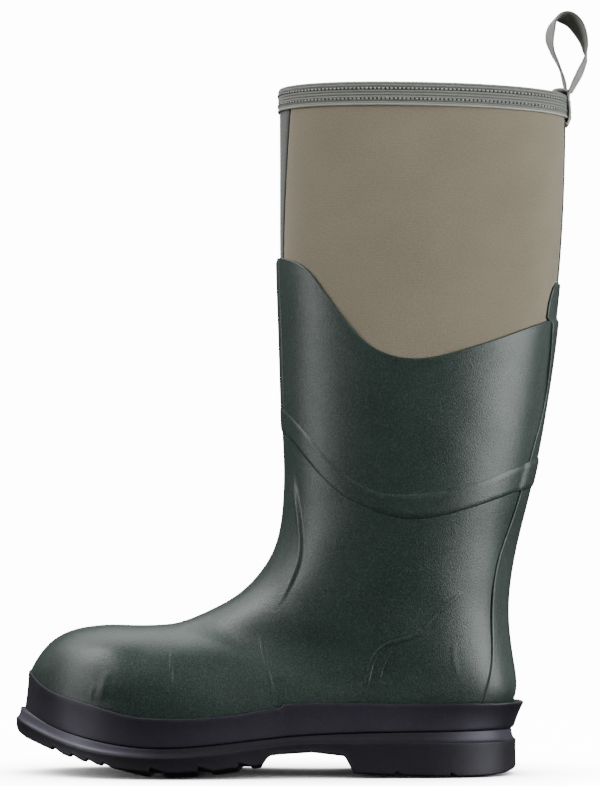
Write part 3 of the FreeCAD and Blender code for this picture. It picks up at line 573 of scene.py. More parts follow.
moulded("shell_rubber", (0.0066, 0.0134, 0.0102), (0.0112, 0.0208, 0.0164), (0.35, 0.45), 0.13, 0.6)
moulded("foxing_rubber", (0.0058, 0.0053, 0.0080), (0.0084, 0.0077, 0.0116), (0.42, 0.54), 0.04,
        Specular_IOR_Level=0.38, Specular_Tint=(0.90, 0.85, 1.0, 1.0))
# the outsole's bevel colour is a painted highlight
moulded("outsole_rubber", (0.0030, 0.0027, 0.0038), (0.0048, 0.0044, 0.0062), (0.46, 0.58), 0.05,
        bevel=(0.040, 0.037, 0.053), Specular_IOR_Level=0.30, Specular_Tint=(0.92, 0.90, 1.0, 1.0))
knitted("neoprene_tan", (0.120, 0.103, 0.070), (0.190, 0.165, 0.113), sheen=0.3)
knitted("neoprene_grey", (0.056, 0.060, 0.054), (0.084, 0.089, 0.080))
knitted("fleece", (0.075, 0.075, 0.068), (0.125, 0.125, 0.112), 1.6, 0.5, 0.95, 0.5)
knitted("neoprene_inner", (0.045, 0.045, 0.045), (0.07, 0.07, 0.07))
woven("piping", (0.004, 0.004, 0.0035), (0.016, 0.016, 0.014), 0.8, 0.4)
woven("binding_tape", (0.050, 0.054, 0.046), (0.190, 0.197, 0.173), TAPE_RIB, pale_lower_edge=(0.28, 0.285, 0.245))
# the webbing's inside colour is painted shade for its inner face
woven("webbing", (0.07, 0.075, 0.065), (0.36, 0.37, 0.34), 1.1, 0.7, inside=(0.175, 0.180, 0.155))
woven("thread", (0.30, 0.32, 0.28), (0.62, 0.64, 0.57), 0.5, 0.3)
plain("footbed_foam", (0.04, 0.04, 0.05), (0.07, 0.07, 0.08), (0.75, 0.9), 200.0, 0.3)
plain("footbed_fabric", (0.06, 0.065, 0.06), (0.11, 0.115, 0.11), (0.85, 0.95), 500.0, 0.3)
plain("midsole_foam", (0.10, 0.10, 0.10), (0.15, 0.15, 0.15), (0.8, 0.9), 90.0, 0.2)
plain("fibre_board", (0.34, 0.26, 0.17), (0.47, 0.38, 0.27), (0.75, 0.9), 240.0, 0.15)
plain("shank_steel", (0.50, 0.51, 0.52), (0.62, 0.63, 0.64), (0.28, 0.4), 70.0, 0.02, Metallic=1.0)
plain("cap_composite", (0.08, 0.09, 0.10), (0.13, 0.14, 0.15), (0.4, 0.55), 70.0, 0.05)
plain("edge_foam", (0.16, 0.16, 0.16), (0.24, 0.24, 0.24), (0.8, 0.9), 120.0, 0.2)
plain("counter_board", (0.25, 0.24, 0.21), (0.34, 0.33, 0.30), (0.7, 0.85), 150.0, 0.12)


# ---------------------------------------------------------------- the rubber shell
INSTEP = [(-4.4, 182), (-3.4, 170), (-1.7, 158), (-0.4, 146), (0.1, 136), (-0.9, 126), (-3.8, 117),
          (-6.9, 110.5), (-10.8, 103.5), (-16.5, 95.5)]
RIBS = [  # moulded beads: side-view line, height, half-width
    ([(-76.2, 77), (-76.2, 62), (-75.8, 48)], 0.09, 1.2),
    ([(-73.8, 50.8), (-79.5, 50.2), (-85, 50.4)], 0.10, 0.9),
    ([(-24.6, 86), (-22.7, 73), (-19.5, 61), (-15.8, 46.5)], 0.09, 1.2),
    ([(37.2, 49), (38.4, 55), (40.9, 66.3), (46.8, 75.1), (57.5, 79.8), (66.3, 82.7),
      (76.9, 93.4), (90.8, 105.2), (97, 110.5)], 0.20, 1.3),
    ([(44.6, 52), (48.7, 68), (58, 80.5)], 0.16, 1.1),
]
FOLDS = [  # soft ridges: side-view line, height, half-width
    ([(90, 80), (89, 72), (92.7, 57)], 0.12, 1.6),
    ([(-112.6, 62.5), (-115.4, 54), (-118.6, 43)], 0.26, 2.4),
    ([(-121.9, 54), (-122.8, 49), (-123.7, 44)], 0.11, 1.5),
]


def shell_relief(p):
    """How far the moulded shell stands proud of the plain body at points p."""
    lift = np.zeros(len(p))

    def beside(line, low, high):
        """Which points lie in a side-view box, with their distance from a line and their place along it."""
        near = ((p[:, [0, 2]] > low) & (p[:, [0, 2]] < high)).all(axis=1)
        return near, *side_distance(p[near], line)

    line = smooth_line(INSTEP, 160)
    near, gap, where = beside(line, (-60, 76), (24, 196))
    ahead = p[near, 0] < np.interp(p[near, 2], line[::-1, 1], line[::-1, 0])
    s = np.where(ahead, gap, -gap)
    fold = np.where(s > 0, 0.95 * np.exp(-s / 9.0), -0.4 * np.exp(s / 3.0))
    fold = np.where(np.abs(s) < 0.9, -0.3 + 1.16 * smoothstep(-0.9, 0.9, s), fold)
    crest = 0.3 * np.exp(-((s - 0.9) / 0.8) ** 2) * (1 - smoothstep(0.35, 0.6, where))
    lift[near] += window(where, 0.0, 0.25, 0.68, 1.0) * (fold + crest)
    for points, height, width in FOLDS:
        line = smooth_line(points, 90)
        near, gap, where = beside(line, line.min(axis=0) - 6, line.max(axis=0) + 6)
        lift[near] += height * window(where, 0.0, 0.2, 0.75, 1.0) * np.exp(-(gap / width) ** 2)
    x, y, z = p.T
    lift += 0.8 * window(x, -136, -110, -110, -92) * window(z, 44, 54, 74, 84)      # over the toe cap
    foot = 1 - smoothstep(150, 240, z)
    lift += 0.10 * np.sin(x / 9.0 + 1.3 * np.sin(z / 17.0)) * np.sin(z / 12.0 + y / 14.0 + 0.8) * (0.5 + foot)
    lift += 0.18 * np.sin(x / 21.0 + z / 26.0 + 0.5) * np.sin(z / 31.0 - y / 19.0)
    return lift


def closing_rows(row, shares):
    """Smaller copies of a row, which lead in to its centre."""
    centre = row.mean(axis=0)
    return np.stack([centre + (row - centre) * s for s in shares])


def rubber_shell():
    """The moulded shell: up its inside, over the lip of its top edge and down its outside."""
    t = columns(440)
    top = down_to(t, shell_edge)
    rate = per_mm(top, t)
    s = np.linspace(0, 1, some(80))[:, None]
    inner = skin(1 - s + s * (top + 1.2 * rate), t, 1.8)
    profile = (0.5, 1.78), (0.15, 1.6), (0.0, 1.3), (-0.05, 0.9), (0.0, 0.45), (0.2, 0.12), (0.6, -0.02)
    lip = np.stack([skin(top + drop * rate, t, depth) for drop, depth in profile])
    s = np.linspace(0, 1, some(520))[:, None]
    v = top + 1.1 * rate + (1 - top - 1.1 * rate) * s
    lift = shell_relief(skin(v, t).reshape(-1, 3)).reshape(v.shape)
    outer = skin(v, t, -lift * smoothstep(0.0, 0.012, s))
    shares = (0.75, 0.45, 0.2)
    rows = [closing_rows(inner[0], shares[::-1]), inner, lip, outer, closing_rows(outer[-1], shares)]
    return bag("rubber_shell_moulded", np.concatenate(rows), slot="shell_rubber",
               nodes=("rubber_shell", "instep_overlay"))


def rubber_beads(tree):
    """Thin raised lines of the mould, on both sides of the foot."""
    beads = []
    for line, height, width in RIBS:
        for side in (-1, 1):
            hits = [tree.ray_cast(Vector((x, side * 90.0, z)) * MM, Vector((0, -side, 0)))
                    for x, z in smooth_line(line, some(90))]
            seat = np.array([hit[0] for hit in hits]) / MM
            out = np.array([hit[1] for hit in hits])
            for _ in range(3):
                out[1:-1] = out[:-2] + out[1:-1] + out[2:]
                out = unit(out)
            aside = unit(np.cross(out, np.gradient(seat, axis=0)))
            run = run_along(seat)
            taper = min(9.0, 0.4 * run[-1])
            fade = (smoothstep(0, taper, run) * smoothstep(0, taper, run[-1] - run))[:, None]
            wide = aside * width * 1.3 * (0.4 + 0.6 * fade)
            high = height * fade + 0.5 - 0.06 * (1 - fade)
            beads.append(np.stack([seat + wide * math.cos(a) + out * (high * (0.5 + 0.5 * math.sin(a)) - 0.5)
                                   for a in circle(10)]))
    tubes("rubber_moulded_beads", beads, slot="shell_rubber")


def rubber_calf_band():
    """The sweeping band, which also passes over the strip up the back."""
    t = columns(420)
    low, high = down_to(t, band_bottom), down_to(t, band_top)
    rate = per_mm(high, t)
    width = (low - high) / rate
    edge = np.array([0.0, 0.4, 0.95, 1.6, 2.3, 3.1, 3.8])[:, None]         # distance from an edge
    fall = np.array([0.3, 0.02, -0.18, -0.34, -0.46, -0.54, -0.56])        # depth there
    middle = edge[-1] + (width - 2 * edge[-1]) * np.linspace(0, 1, 8)[1:-1, None]
    v = high + np.concatenate([edge + 0 * t, middle, width - edge[::-1]]) * rate
    depth = np.concatenate([fall, np.full(len(middle), -0.55), fall[::-1]])[:, None]
    p = skin(v, t)
    over_spine = smoothstep(-2.4, 1.2, p[..., 0] - spine_edge(p[..., 2]))
    over_shin = smoothstep(-14, -9, -np.abs(p[..., 1])) * (p[..., 0] < 40)
    outer = skin(v, t, depth - 1.45 * over_spine - 0.4 * over_shin)
    slab("rubber_calf_band", outer, skin(v, t, 0.9), wrap=True, slot="shell_rubber", nodes=("calf_band",))


def rubber_shin_strip():
    """The flat strip down the shin, whose long edges show just inside the front outline."""
    rows = some(150)
    top, low = down_to(0.0, shell_edge)[0], down_to(0.0, band_top)[0]
    v = np.linspace(top + 1.5 * per_mm(top, 0.0), low + 2.0 * per_mm(low, 0.0), rows)
    outer_t = across_to(v, 0.0, 0.2, lambda p: p[..., 1] + 11.5)
    share = np.concatenate([[-1, -0.985, -0.95, -0.9], np.linspace(-0.8, 0.8, 15), [0.9, 0.95, 0.985, 1]])
    rise = -0.95 * smoothstep(0.0, 0.1, 1 - np.abs(share))
    t = outer_t[:, None] * share
    ends = smoothstep(0.0, 0.01, np.linspace(0, 1, rows))[:, None]
    outer = skin(v[:, None], t, 0.35 + rise * ends)
    slab("rubber_shin_strip", outer, skin(v[:, None], t, 0.9), slot="shell_rubber", nodes=("shin_strip",))


def rubber_spine_strip():
    """The strip up the back: on the rubber, then on over the neoprene to its pointed top."""
    start, end = down_to(0.5, 292.4)[0], down_to(0.5, 34.0)[0]
    u = np.linspace(0, 1, some(420))
    v = start + (end - start) * (0.06 * u + 0.94 * u ** 1.15)

    def before_edge(p):
        return spine_edge(p[..., 2]) - p[..., 0]

    t_out = np.minimum(across_to(v, 0.25, 0.5, before_edge), 0.4995)
    t_in = np.maximum(across_to(v, 0.75, 0.5, before_edge), 0.5005)
    wide = np.linalg.norm(skin(v, t_out) - skin(v, 0.5), axis=1)
    inset = np.array([0.0, 0.06, 0.18, 0.4, 0.75, 1.2, 2.0])               # distance from an edge
    fall = np.array([1.5, 0.8, 0.35, 0.1, 0.0, -0.06, 0.0])                # depth there
    share = np.minimum(inset / np.maximum(wide[:, None], 0.5), 0.32)
    mid = np.linspace(0, 1, some(30) + 2)[1:-1]
    half = np.concatenate([share, share[:, -1:] + (1 - share[:, -1:]) * mid], axis=1)
    t = np.concatenate([t_out[:, None] + (0.5 - t_out)[:, None] * half,
                        (t_in[:, None] + (0.5 - t_in)[:, None] * half)[:, ::-1]], axis=1)
    fall = np.concatenate([fall, 0 * mid, 0 * mid, fall[::-1]])
    p = skin(v[:, None], t)
    on_sock = smoothstep(-2.5, 1.5, p[..., 2] - shell_edge(p[..., 0]))
    face = -1.1 + 1.7 * on_sock
    tip = 1.2 * (1 - smoothstep(0.0, 0.012, u))[:, None]
    wave = 0.15 * np.sin(p[..., 2] / 13.0 + p[..., 1] / 9.0)
    outer = skin(v[:, None], t, face + fall * (1 - 0.3 * on_sock) + tip + wave * (1 - on_sock))
    inner = skin(v[:, None], t, face + 1.9 - 0.3 * on_sock)
    slab("rubber_spine_strip", outer, inner, slot="shell_rubber", nodes=("heel_spine_strip",))


# ---------------------------------------------------------------- the sock
FRONT_SEAM = ([120, 250, 308, 342, 375, 398, 430], [5, 9, 12.2, 14.8, 18, 20.5, 24.2])  # height, distance
BACK_SEAM = 10.0                                         # distance from the middle of the boot
ROLL = np.array([0.0, 0.2, 0.5, 0.95, 1.6, 2.6])         # distance from a panel's edge
DROP = np.array([2.4, 1.3, 0.65, 0.25, 0.06, 0.0])       # how far it has rolled in there


def seam(v, side, front):
    """t of a shaft seam in rows v; side is -1 for the outer side."""
    def short(p):
        return (np.interp(p[..., 2], *FRONT_SEAM) if front else BACK_SEAM) - side * p[..., 1]
    start = 0.5 if not front else 0.0 if side < 0 else 1.0
    return across_to(v, start, 0.5 + 0.25 * side, short, 2.0)


def neoprene_panel(name, v, t_a, t_b, cols, slot, node):
    """A panel between two seams, whose edges roll down into them."""
    face, back = 2.0, 7.0
    p_a, p_b, mid = skin(v, t_a, face), skin(v, t_b, face), skin(v, (t_a + t_b) / 2, face)
    width = np.linalg.norm(p_a - mid, axis=1) + np.linalg.norm(p_b - mid, axis=1)
    share = np.minimum(ROLL / width[:, None], 0.4)
    core = np.linspace(0, 1, cols + 2)[1:-1]
    s = np.concatenate([share, share[:, -1:] + (1 - 2 * share[:, -1:]) * core, 1 - share[:, ::-1]], axis=1)
    drop = np.concatenate([DROP, 0 * core, DROP[::-1]])
    t = t_a[:, None] + (t_b - t_a)[:, None] * s
    p = skin(v[:, None], t, face)
    wave = 0.18 * np.sin(p[..., 2] / 23.0 + p[..., 0] / 31.0) * np.sin(p[..., 0] / 27.0 + 1.0)
    outer = skin(v[:, None], t, face + drop + wave * (drop == 0))
    cloth = weave(s * width[:, None], v[:, None] * LENGTH)
    slab(name, outer, skin(v[:, None], t, back), slot=slot, nodes=(node,), cloth=np.tile(cloth, (2, 1)))


def shaft():
    """Four neoprene panels and the piping in the seams between them."""
    top, low = down_to(0.25, under_top(1.3))[0], down_to(0.25, 132.0)[0]
    v = top + (low - top) * np.linspace(0, 1, some(170))
    fo, fi = seam(v, -1, True), seam(v, 1, True) - 1.0
    bo, bi = seam(v, -1, False), seam(v, 1, False) - 1.0
    neoprene_panel("neoprene_shaft_outer", v, fo, bo, some(150), "neoprene_tan", "neoprene_panel_lateral")
    neoprene_panel("neoprene_shaft_inner", v, fi, bi, some(150), "neoprene_tan", "neoprene_panel_medial")
    neoprene_panel("neoprene_front_strip", v, fi, fo, some(40), "neoprene_grey", "front_gusset")
    neoprene_panel("neoprene_back_strip", v, bo, bi + 1.0, some(24), "neoprene_grey", "back_gusset")
    turn = circle(8)
    cords = []
    for t in (fo, fi, bo, bi):
        aside = unit(skin(v, t + 1e-3, 2.4) - skin(v, t - 1e-3, 2.4))
        cords.append(np.stack([skin(v, t, 2.5 - 0.8 * math.sin(a)) + aside * 0.95 * math.cos(a)
                               for a in turn]))
    cloth = np.tile(weave(turn[:, None], v * LENGTH), (len(cords), 1))
    tubes("seam_piping_cords", cords, slot="piping", nodes=("seam_piping",), cloth=cloth)


def inner_layer(name, t, v, face_depth, v_back, back_depth, slot, nodes):
    """A closed layer inside the shell: down its face to the toe, and up its back."""
    face, back = skin(v, t, face_depth), skin(v_back, t, back_depth)
    rows = np.concatenate([closing_rows(back[0], (0.3, 0.7)), back, face, closing_rows(face[-1], (0.7, 0.3))])
    v_all = np.concatenate([v[-2:], v_back, v, v[-2:]])
    cloth = weave(((t + 0.5) % 1.0) * SHAFT_GIRTH, v_all * LENGTH)
    bag(name, rows, cloth, slot=slot, nodes=nodes)


def sock_foot():
    """The sock's foot, pressed in a little over the toe cap and by the heel counter."""
    t = columns(140)
    top = down_to(t, 130.0)
    v = top + (1 - top) * np.linspace(0, 1, some(90))[:, None]
    x, _, z = np.moveaxis(skin(v, t), -1, 0)
    press = 1.9 * smoothstep(104, 112, -x) + 1.4 * smoothstep(60, 68, x) * (1 - smoothstep(96, 104, z))
    inner_layer("neoprene_sock_foot", t, v, 2.0 + press, v[::-1], 7.0, "neoprene_inner", ("sock_foot",))


def lining():
    """Fleece from the binding to the toe, with a seam round the ankle."""
    t = columns(260)
    top = down_to(t, under_top(3.0), 8.0)
    v = top + (1 - top) * np.linspace(0, 1, some(260))[:, None]
    x, y, z = np.moveaxis(skin(v, t, 8.8), -1, 0)
    pile = 0.12 * np.sin(z * 1.9 + 3 * np.sin(x * 0.6)) * np.sin(x * 1.7 + y * 1.3)
    groove = -0.8 * np.exp(-((z - 130.0) / 0.9) ** 2) * (x > -20)
    inner_layer("fleece_lining", t, v, 8.7 + pile + groove, v[::-4], 7.25, "fleece",
                ("lining_shaft", "lining_foot"))


def soft_copy(name, node, voxel, slot):
    """A softly rounded copy of a foam or fabric node, for the inside of the boot."""
    obj = bpy.data.objects.new(name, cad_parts[node].data.copy())
    bpy.context.scene.collection.objects.link(obj)
    remesh = obj.modifiers.new("remesh", "REMESH")
    remesh.mode, remesh.voxel_size = "VOXEL", voxel * MM
    smooth = obj.modifiers.new("smooth", "SMOOTH")
    smooth.factor, smooth.iterations = 0.5, 3
    done = bpy.data.meshes.new_from_object(obj.evaluated_get(bpy.context.evaluated_depsgraph_get()))
    obj.modifiers.clear()
    obj.data = done
    done.name = name
    done.materials.clear()
    done.materials.append(LOOKS[slot])
    done.polygons.foreach_set("use_smooth", np.ones(len(done.polygons), bool))
    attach(obj, "boot")
    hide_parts(node)


# ---------------------------------------------------------------- the binding
def binding_profile():
    """(distance under the top edge, depth) round the folded tape, from its outer lower edge."""
    line = [(14.3, 1.75), (14.35, 1.2), (14.1, 0.78), (13.5, 0.62), (12.9, 0.66), (12.55, 0.95), (12.3, 0.98)]
    for k in range(22):
        low = 12.0 - 0.5 * k
        line.append((low, 0.9 + 0.13 * math.cos(math.pi * 2 * low / TAPE_RIB)))
    line += [(1.1, 1.1), (0.65, 1.4), (0.3, 2), (0.08, 3), (0, 4.2), (0, 5.8), (0.08, 7.4), (0.3, 8.6),
             (0.75, 9.5), (1.4, 9.95)]
    for k in range(10):
        line.append((2.4 + 1.15 * k, 9.95 + 0.07 * math.cos(k * 2.4)))
    line += [(13.6, 9.95), (14.2, 9.7), (14.3, 9.3), (13.9, 8.95), (8, 8.93), (2.2, 8.9),
             (1.3, 7.8), (1.2, 5.4), (1.3, 3), (2.2, 1.92), (8, 1.93), (13.6, 1.93)]
    return line


def top_binding():
    """Ribbed tape folded over the top edge."""
    t = 0.5 + columns(420)
    profile = np.array(binding_profile())
    drop, depth = profile[:, :1], profile[:, 1:]
    v_top, v_low = down_to(t, under_top(0.0)), down_to(t, under_top(15.0))
    place = np.arange(len(profile))[:, None]
    outside = (2 < place) & (place < 32)
    flutter = 0.12 * np.sin(t * 61.0) * np.sin(t * 23.0 + 1) * outside
    rows = skin(v_top + (v_low - v_top) * drop / 15.0, t, depth + flutter)
    ring("binding_tape_folded", rows, slot="binding_tape", nodes=("top_binding",),
         cloth=weave((t - 0.5) * SHAFT_GIRTH, run_along(profile)[:, None]))


STEPS, SIDES = 7, 6  # points along a stitch and round it
STITCH_QUADS = np.concatenate([grid_quads(STEPS, SIDES, True), end_faces(np.arange(SIDES)),
                               end_faces(np.arange(SIDES) + (STEPS - 1) * SIDES)])


def stitch(centre, along, out, length, wide, high):
    """Points of one stitch: a short bead that dips into the cloth at both ends."""
    side = np.cross(along, out)
    bead = []
    for s in np.linspace(-1, 1, STEPS):
        middle = centre + along * s * length / 2
        lift = high * (1 - abs(s) ** 2.5) - 0.25 * abs(s) ** 6
        thick = wide * (1 - 0.45 * abs(s) ** 4) / 2
        bead += [middle + out * (lift + thick * math.sin(a)) + side * thick * math.cos(a)
                 for a in circle(SIDES)]
    return np.array(bead)


def stitching(name, seats, pitch_share, wide, high, slot, nodes=()):
    """One mesh of many stitches; seats are (centre, along, out, length)."""
    points, quads, cloth = [], [], []
    for k, (centre, along, out, length) in enumerate(seats):
        wobble = 1 + 0.12 * rng.standard_normal()
        points.append(stitch(centre, along, out, length * pitch_share * wobble, wide, high))
        quads.append(STITCH_QUADS + STEPS * SIDES * k)
        cloth.append(weave(np.arange(STEPS)[:, None] * 0.3 + k, np.arange(SIDES) * 0.2))
    add_mesh(name, np.concatenate(points), np.concatenate(quads), slot=slot, nodes=nodes,
             cloth=np.concatenate(cloth))


def binding_stitches():
    """Two rows of stitches on each side of the binding, and a dark mark of painted shade for a needle hole
    beside each stitch.
    """
    pitch = 2.45
    seats = []
    for drop in (4.4, 10.4):
        for depth, way in ((0.9, 1), (9.98, -1)):
            t = np.linspace(0.5, 1.5, 1200)
            line = skin(down_to(t, under_top(drop), depth), t, depth)
            run = run_along(line)
            gap = 11.5 if way > 0 else 12.5
            at = np.linspace(gap, run[-1] - gap, int((run[-1] - 2 * gap) / pitch))
            centre, ahead = (np.stack([np.interp(at + step, run, line[:, k]) for k in range(3)], -1)
                             for step in (0.0, 0.5))
            t = np.interp(at, run, t)
            v = down_to(t, under_top(drop))
            out = unit(skin(v, t, depth - way) - skin(v, t, depth))
            seats += [(c, a, o, pitch) for c, a, o in zip(centre, unit(ahead - centre), out)]
    stitching("binding_stitch_rows", seats, 0.6, 0.7, 0.12, "thread", ("binding_stitching",))
    # dark marks of painted shade where the needle holes are
    hole_shade_marks = [(c + a * 1.22, np.cross(o, a), o, 1.9) for c, a, o, _ in seats]      # between two stitches
    stitching("binding_needle_hole_shade", hole_shade_marks, 0.9, 0.95, -0.02, "piping")


# ---------------------------------------------------------------- the pull loop
# Near and far edge of the free webbing, (x, y, z), from the pinch up the front leg and down the back leg.
LOOP_NEAR = [(158.6, -9.6, 406.6), (158, -10, 413.6), (155.7, -10, 419.9), (153.5, -10, 426),
             (151.4, -10, 432), (151.1, -10, 438), (152, -10, 443.6), (152.6, -10, 447.9),
             (153.2, -10, 450.7), (155.1, -10, 453.8), (159.9, -10, 455.6), (164.7, -10, 453.8),
             (168.8, -10, 449.2), (171.2, -10, 442.4), (171.8, -10, 436.9), (170.6, -10, 430.5),
             (168.8, -10, 426), (166.3, -10, 421.7), (164, -10, 416.9), (162.3, -10, 413.2),
             (160.4, -9.6, 407.6)]
LOOP_FAR = [(160.2, 9.6, 407.6), (158.1, 10, 416.3), (156.6, 10, 422.9), (153.3, 10, 429), (150, 10, 435.1),
            (147.9, 10, 441.2), (148.5, 10, 446.7), (150.7, 10, 450.5), (153.4, 10, 452.7),
            (156.7, 10, 451.8), (160.4, 10, 449.9), (164.6, 10, 445.5), (167.6, 10, 441.2),
            (169.7, 10, 436.9), (170.9, 10, 433.2), (172.2, 10, 430.8), (172.8, 10, 428.4),
            (171.9, 10, 424.7), (170.4, 10, 420), (168.1, 10, 415.8), (163.4, 9.6, 408.4)]


def ribbon(near, far, thick, stations):
    """Rows of a flat webbing's section, (around, stations), between two edge lines, and their cloth."""
    a, b = smooth_line(near, stations), smooth_line(far, stations)
    mid, across = (a + b) / 2, b - a
    out = unit(np.cross(unit(np.gradient(mid, axis=0)), across))
    each = 11                                   # points across a face
    s = np.concatenate([np.linspace(-1, 1, each), np.linspace(1, -1, each)])[:, None, None]
    face = np.repeat([1.0, -1.0], each)[:, None, None]
    edge = np.abs(s) > 0.99
    half = thick / 2 * np.where(edge, 0.35, 1.0) * (1 - 0.12 * s * s)
    rows = mid + across * s / 2 * np.where(edge, 1.0, 0.985) + out * half * face
    return rows, weave((s * WEBBING_HALF + FACE_AT * face)[..., 0], run_along(mid))


def pull_loop():
    """The free webbing, a mesh that is left off the boot's body."""
    rows, cloth = ribbon(LOOP_NEAR, LOOP_FAR, 1.5, some(160))
    obj = ring("webbing_pull_loop", rows, False, cloth, slot="webbing", body=None, nodes=("pull_loop",))
    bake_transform(obj)


def curved_tab(name, points, thick, bow, node, half=WEBBING_HALF):
    """Webbing sewn to the binding, along a side-view line, bowed round the boot. Minus half turns it over."""
    near, far = ([(x, y, z) for x, z in points] for y in (-half, half))
    rows, cloth = ribbon(near, far, thick, some(90))
    rows[..., 0] -= bow * (rows[..., 1] / WEBBING_HALF) ** 2
    middle = FACE_AT * np.sign(cloth[:, 0])
    cloth[:, 0] = middle + 0.8 * (cloth[:, 0] - middle)
    ring(name, rows, False, cloth, slot="webbing", nodes=(node,))


def loop_tabs():
    """Both sewn ends of the webbing, and the bar tacks on the outer one."""
    curved_tab("webbing_outer_end",
               [(161.6, 409), (161.1, 406.6), (160.8, 403.6), (161.2, 400), (161.6, 396.4),
                (161.5, 392.8), (160.7, 389.4), (159.6, 387.7), (158.9, 388.6)],
               1.7, 1.15, "loop_tab_outer")
    curved_tab("webbing_inner_end",
               [(161.2, 406.5), (160, 407.5), (157.6, 408.3), (154.8, 408.4), (152.2, 407.7),
                (150.4, 405.9), (149.7, 402.8), (149.5, 394)],
               2.5, 0.9, "loop_tab_inner", -WEBBING_HALF)
    along, out = np.array([0, 0.35, 0.94]), np.array([1, 0, 0])
    seats = [(np.array([x - 1.15 * (y / WEBBING_HALF) ** 2, y, z]), along, out, 2.2)
             for x, z in ((162.15, 392.0), (161.8, 401.0)) for y in np.arange(-7.0, 8.0)]
    stitching("webbing_bartacks", seats, 1.0, 0.7, 0.1, "thread", ("loop_bartacks",))


# ---------------------------------------------------------------- the sole
OUTLINE = np.array([
    (-171.2, 9), (-163.5, 28.5), (-146, 46), (-120, 53.8), (-90, 55), (-55, 50.5), (-15, 45),
    (30, 41.8), (70, 41.4), (100, 36.8), (120.5, 23.5), (127.8, 0), (120.5, -24.5), (100, -38),
    (70, -42.6), (30, -44.5), (-15, -48.6), (-50, -53.5), (-78, -55), (-108, -51), (-135, -39),
    (-156, -20.5), (-168, -4.5),
])
lip_line = reader([(145, 21), (127, 20.4), (97, 20.2), (58, 20.8), (28, 20.7), (-7, 20), (-30, 17.1),
                   (-60, 13.6), (-90, 12.7), (-105, 13.6), (-127, 16.7), (-146, 22.2), (-158, 26.8),
                   (-180, 37)])
bevel_line = reader([(145, 27.2), (127, 27.1), (88, 26.5), (58, 26.2), (28, 25.6), (0, 24.4), (-19, 22.7),
                     (-40, 20.4), (-60, 18.4), (-84, 17.4), (-105, 18.7), (-127, 22.6), (-146, 27.8),
                     (-158, 32.6), (-180, 43)])
foxing_line = reader([(145, 42), (132, 42.4), (106, 43), (58, 42.8), (22, 43.4), (-2, 42), (-19, 39.9),
                      (-43, 36.3), (-66, 34.7), (-87, 34.9), (-106, 37.4), (-123, 42.5), (-137.5, 46.2),
                      (-150, 50.6), (-157, 54.2), (-163.5, 58.8), (-180, 68)])
JOIN_X = -12.6  # where the toe bumper meets the heel band
RIM = np.array([(-171.3, 27.6), (-169.5, 24.3), (-163.5, 20.9), (-151.5, 16.6), (-137, 11.8), (-127.5, 9.4),
                (-117, 7.3), (-108, 5.5), (-89, 3.5), (-72, 3.1), (-61, 3.9), (-51, 4.3), (-37, 6.2),
                (-28, 6.9), (-22.5, 8), (-20, 11.6), (-18, 13), (-13, 13.6), (6, 14.7), (24.4, 12.5),
                (25.2, 12), (30.4, 3), (31.2, 2.4), (46, 1.75), (70, 0.9), (79, 0.55), (100, 0.27),
                (112, 0.6), (121, 1.7), (126, 3.05), (128.5, 4.4)])
FLOOR_LINE = np.array([(-171, 27), (-163.5, 20.6), (-150, 15.4), (-137, 11.2), (-117, 6.6), (-106, 4.4),
                       (-98, 2.4), (-90, 0.7), (-84, 0.05), (-66, 0.3), (-51, 1.5), (-37, 3.4),
                       (-23.5, 5.6), (-21, 11), (-18.5, 12.6), (-13, 13.4), (6, 14.7), (24.8, 12.4),
                       (25.6, 11.6), (30.9, 2), (46, 0.8), (72, 0.02), (104, 0.02), (113, 0.3), (122, 1.6),
                       (128, 3.6)])
NOTCHES = [  # x of the steep side, depth, length, slant in degrees, how far in it keeps that slant
    (-147, 2, 7, 2, 46), (-135.5, 2, 7, 2, 46), (-126, 2, 6.5, 2, 46),
    (-116.5, 2, 6.5, 2, 46), (-88.5, 2.8, 9, 4, 50), (-60.5, 2.8, 8.5, 4, 50),
    (-37, 2.6, 8, 4, 50), (54.5, 1.8, 4.5, 2, 40), (86.5, 1.8, 4.5, 2, 40),
]


def outline_points(side, toe, heel):
    """The outline's own points moved outwards: its sides, its toe and its heel each by their own amount."""
    step = np.roll(OUTLINE, -1, axis=0) - np.roll(OUTLINE, 1, axis=0)
    n = unit(np.stack([-step[:, 1], step[:, 0]], -1))
    to_heel = np.clip((OUTLINE[:, 0] - 85.0) / 35.0, 0, 1)
    to_toe = np.clip((-OUTLINE[:, 0] - 148.0) / 22.0, 0, 1)
    return OUTLINE + n * (side + (heel - side) * to_heel + (toe - side) * to_toe)[:, None]


def outline_at(where, offsets):
    """Points of the smooth outline at places 'where', counted in control points."""
    p = outline_points(*offsets)
    n = len(p)
    tiled = np.concatenate([p, p, p, p[:1]])
    run = run_along(tiled)
    m = (slopes(run) @ tiled)[n:2 * n + 1]
    i = np.floor(where).astype(int) % n
    a, b, c, d = hermite((where - np.floor(where))[:, None])
    span = np.diff(run)[n + i][:, None]
    return a * p[i] + b * p[(i + 1) % n] + span * (c * m[i] + d * m[i + 1])


def sole_places(half, steps=4600):
    """Places round the outline, from the toe along the inner side to the heel and back, paired across."""
    n = len(OUTLINE)
    p = outline_at(np.linspace(0, n, steps, endpoint=False), (0, 0, 0))
    toe, heel = int(np.argmin(p[:, 0])), int(np.argmax(p[:, 0]))
    sides = []
    for first, last in ((toe, heel), (heel, toe)):
        k = np.arange(first, last + 1 + (steps if last < first else 0))
        run = run_along(p[k % steps])
        sides.append(np.interp(np.linspace(0, run[-1], half + 1), run, k)[:-1] * n / steps)
    return np.concatenate(sides)


PLACES = sole_places(some(660))
EDGE = outline_at(PLACES, (0, 0, 0))
EDGE_OUT = np.roll(EDGE, -1, axis=0) - np.roll(EDGE, 1, axis=0)
EDGE_OUT = unit(np.stack([-EDGE_OUT[:, 1], EDGE_OUT[:, 0]], -1))


GROOVE = 3.4  # depth between the lugs, inside the rim


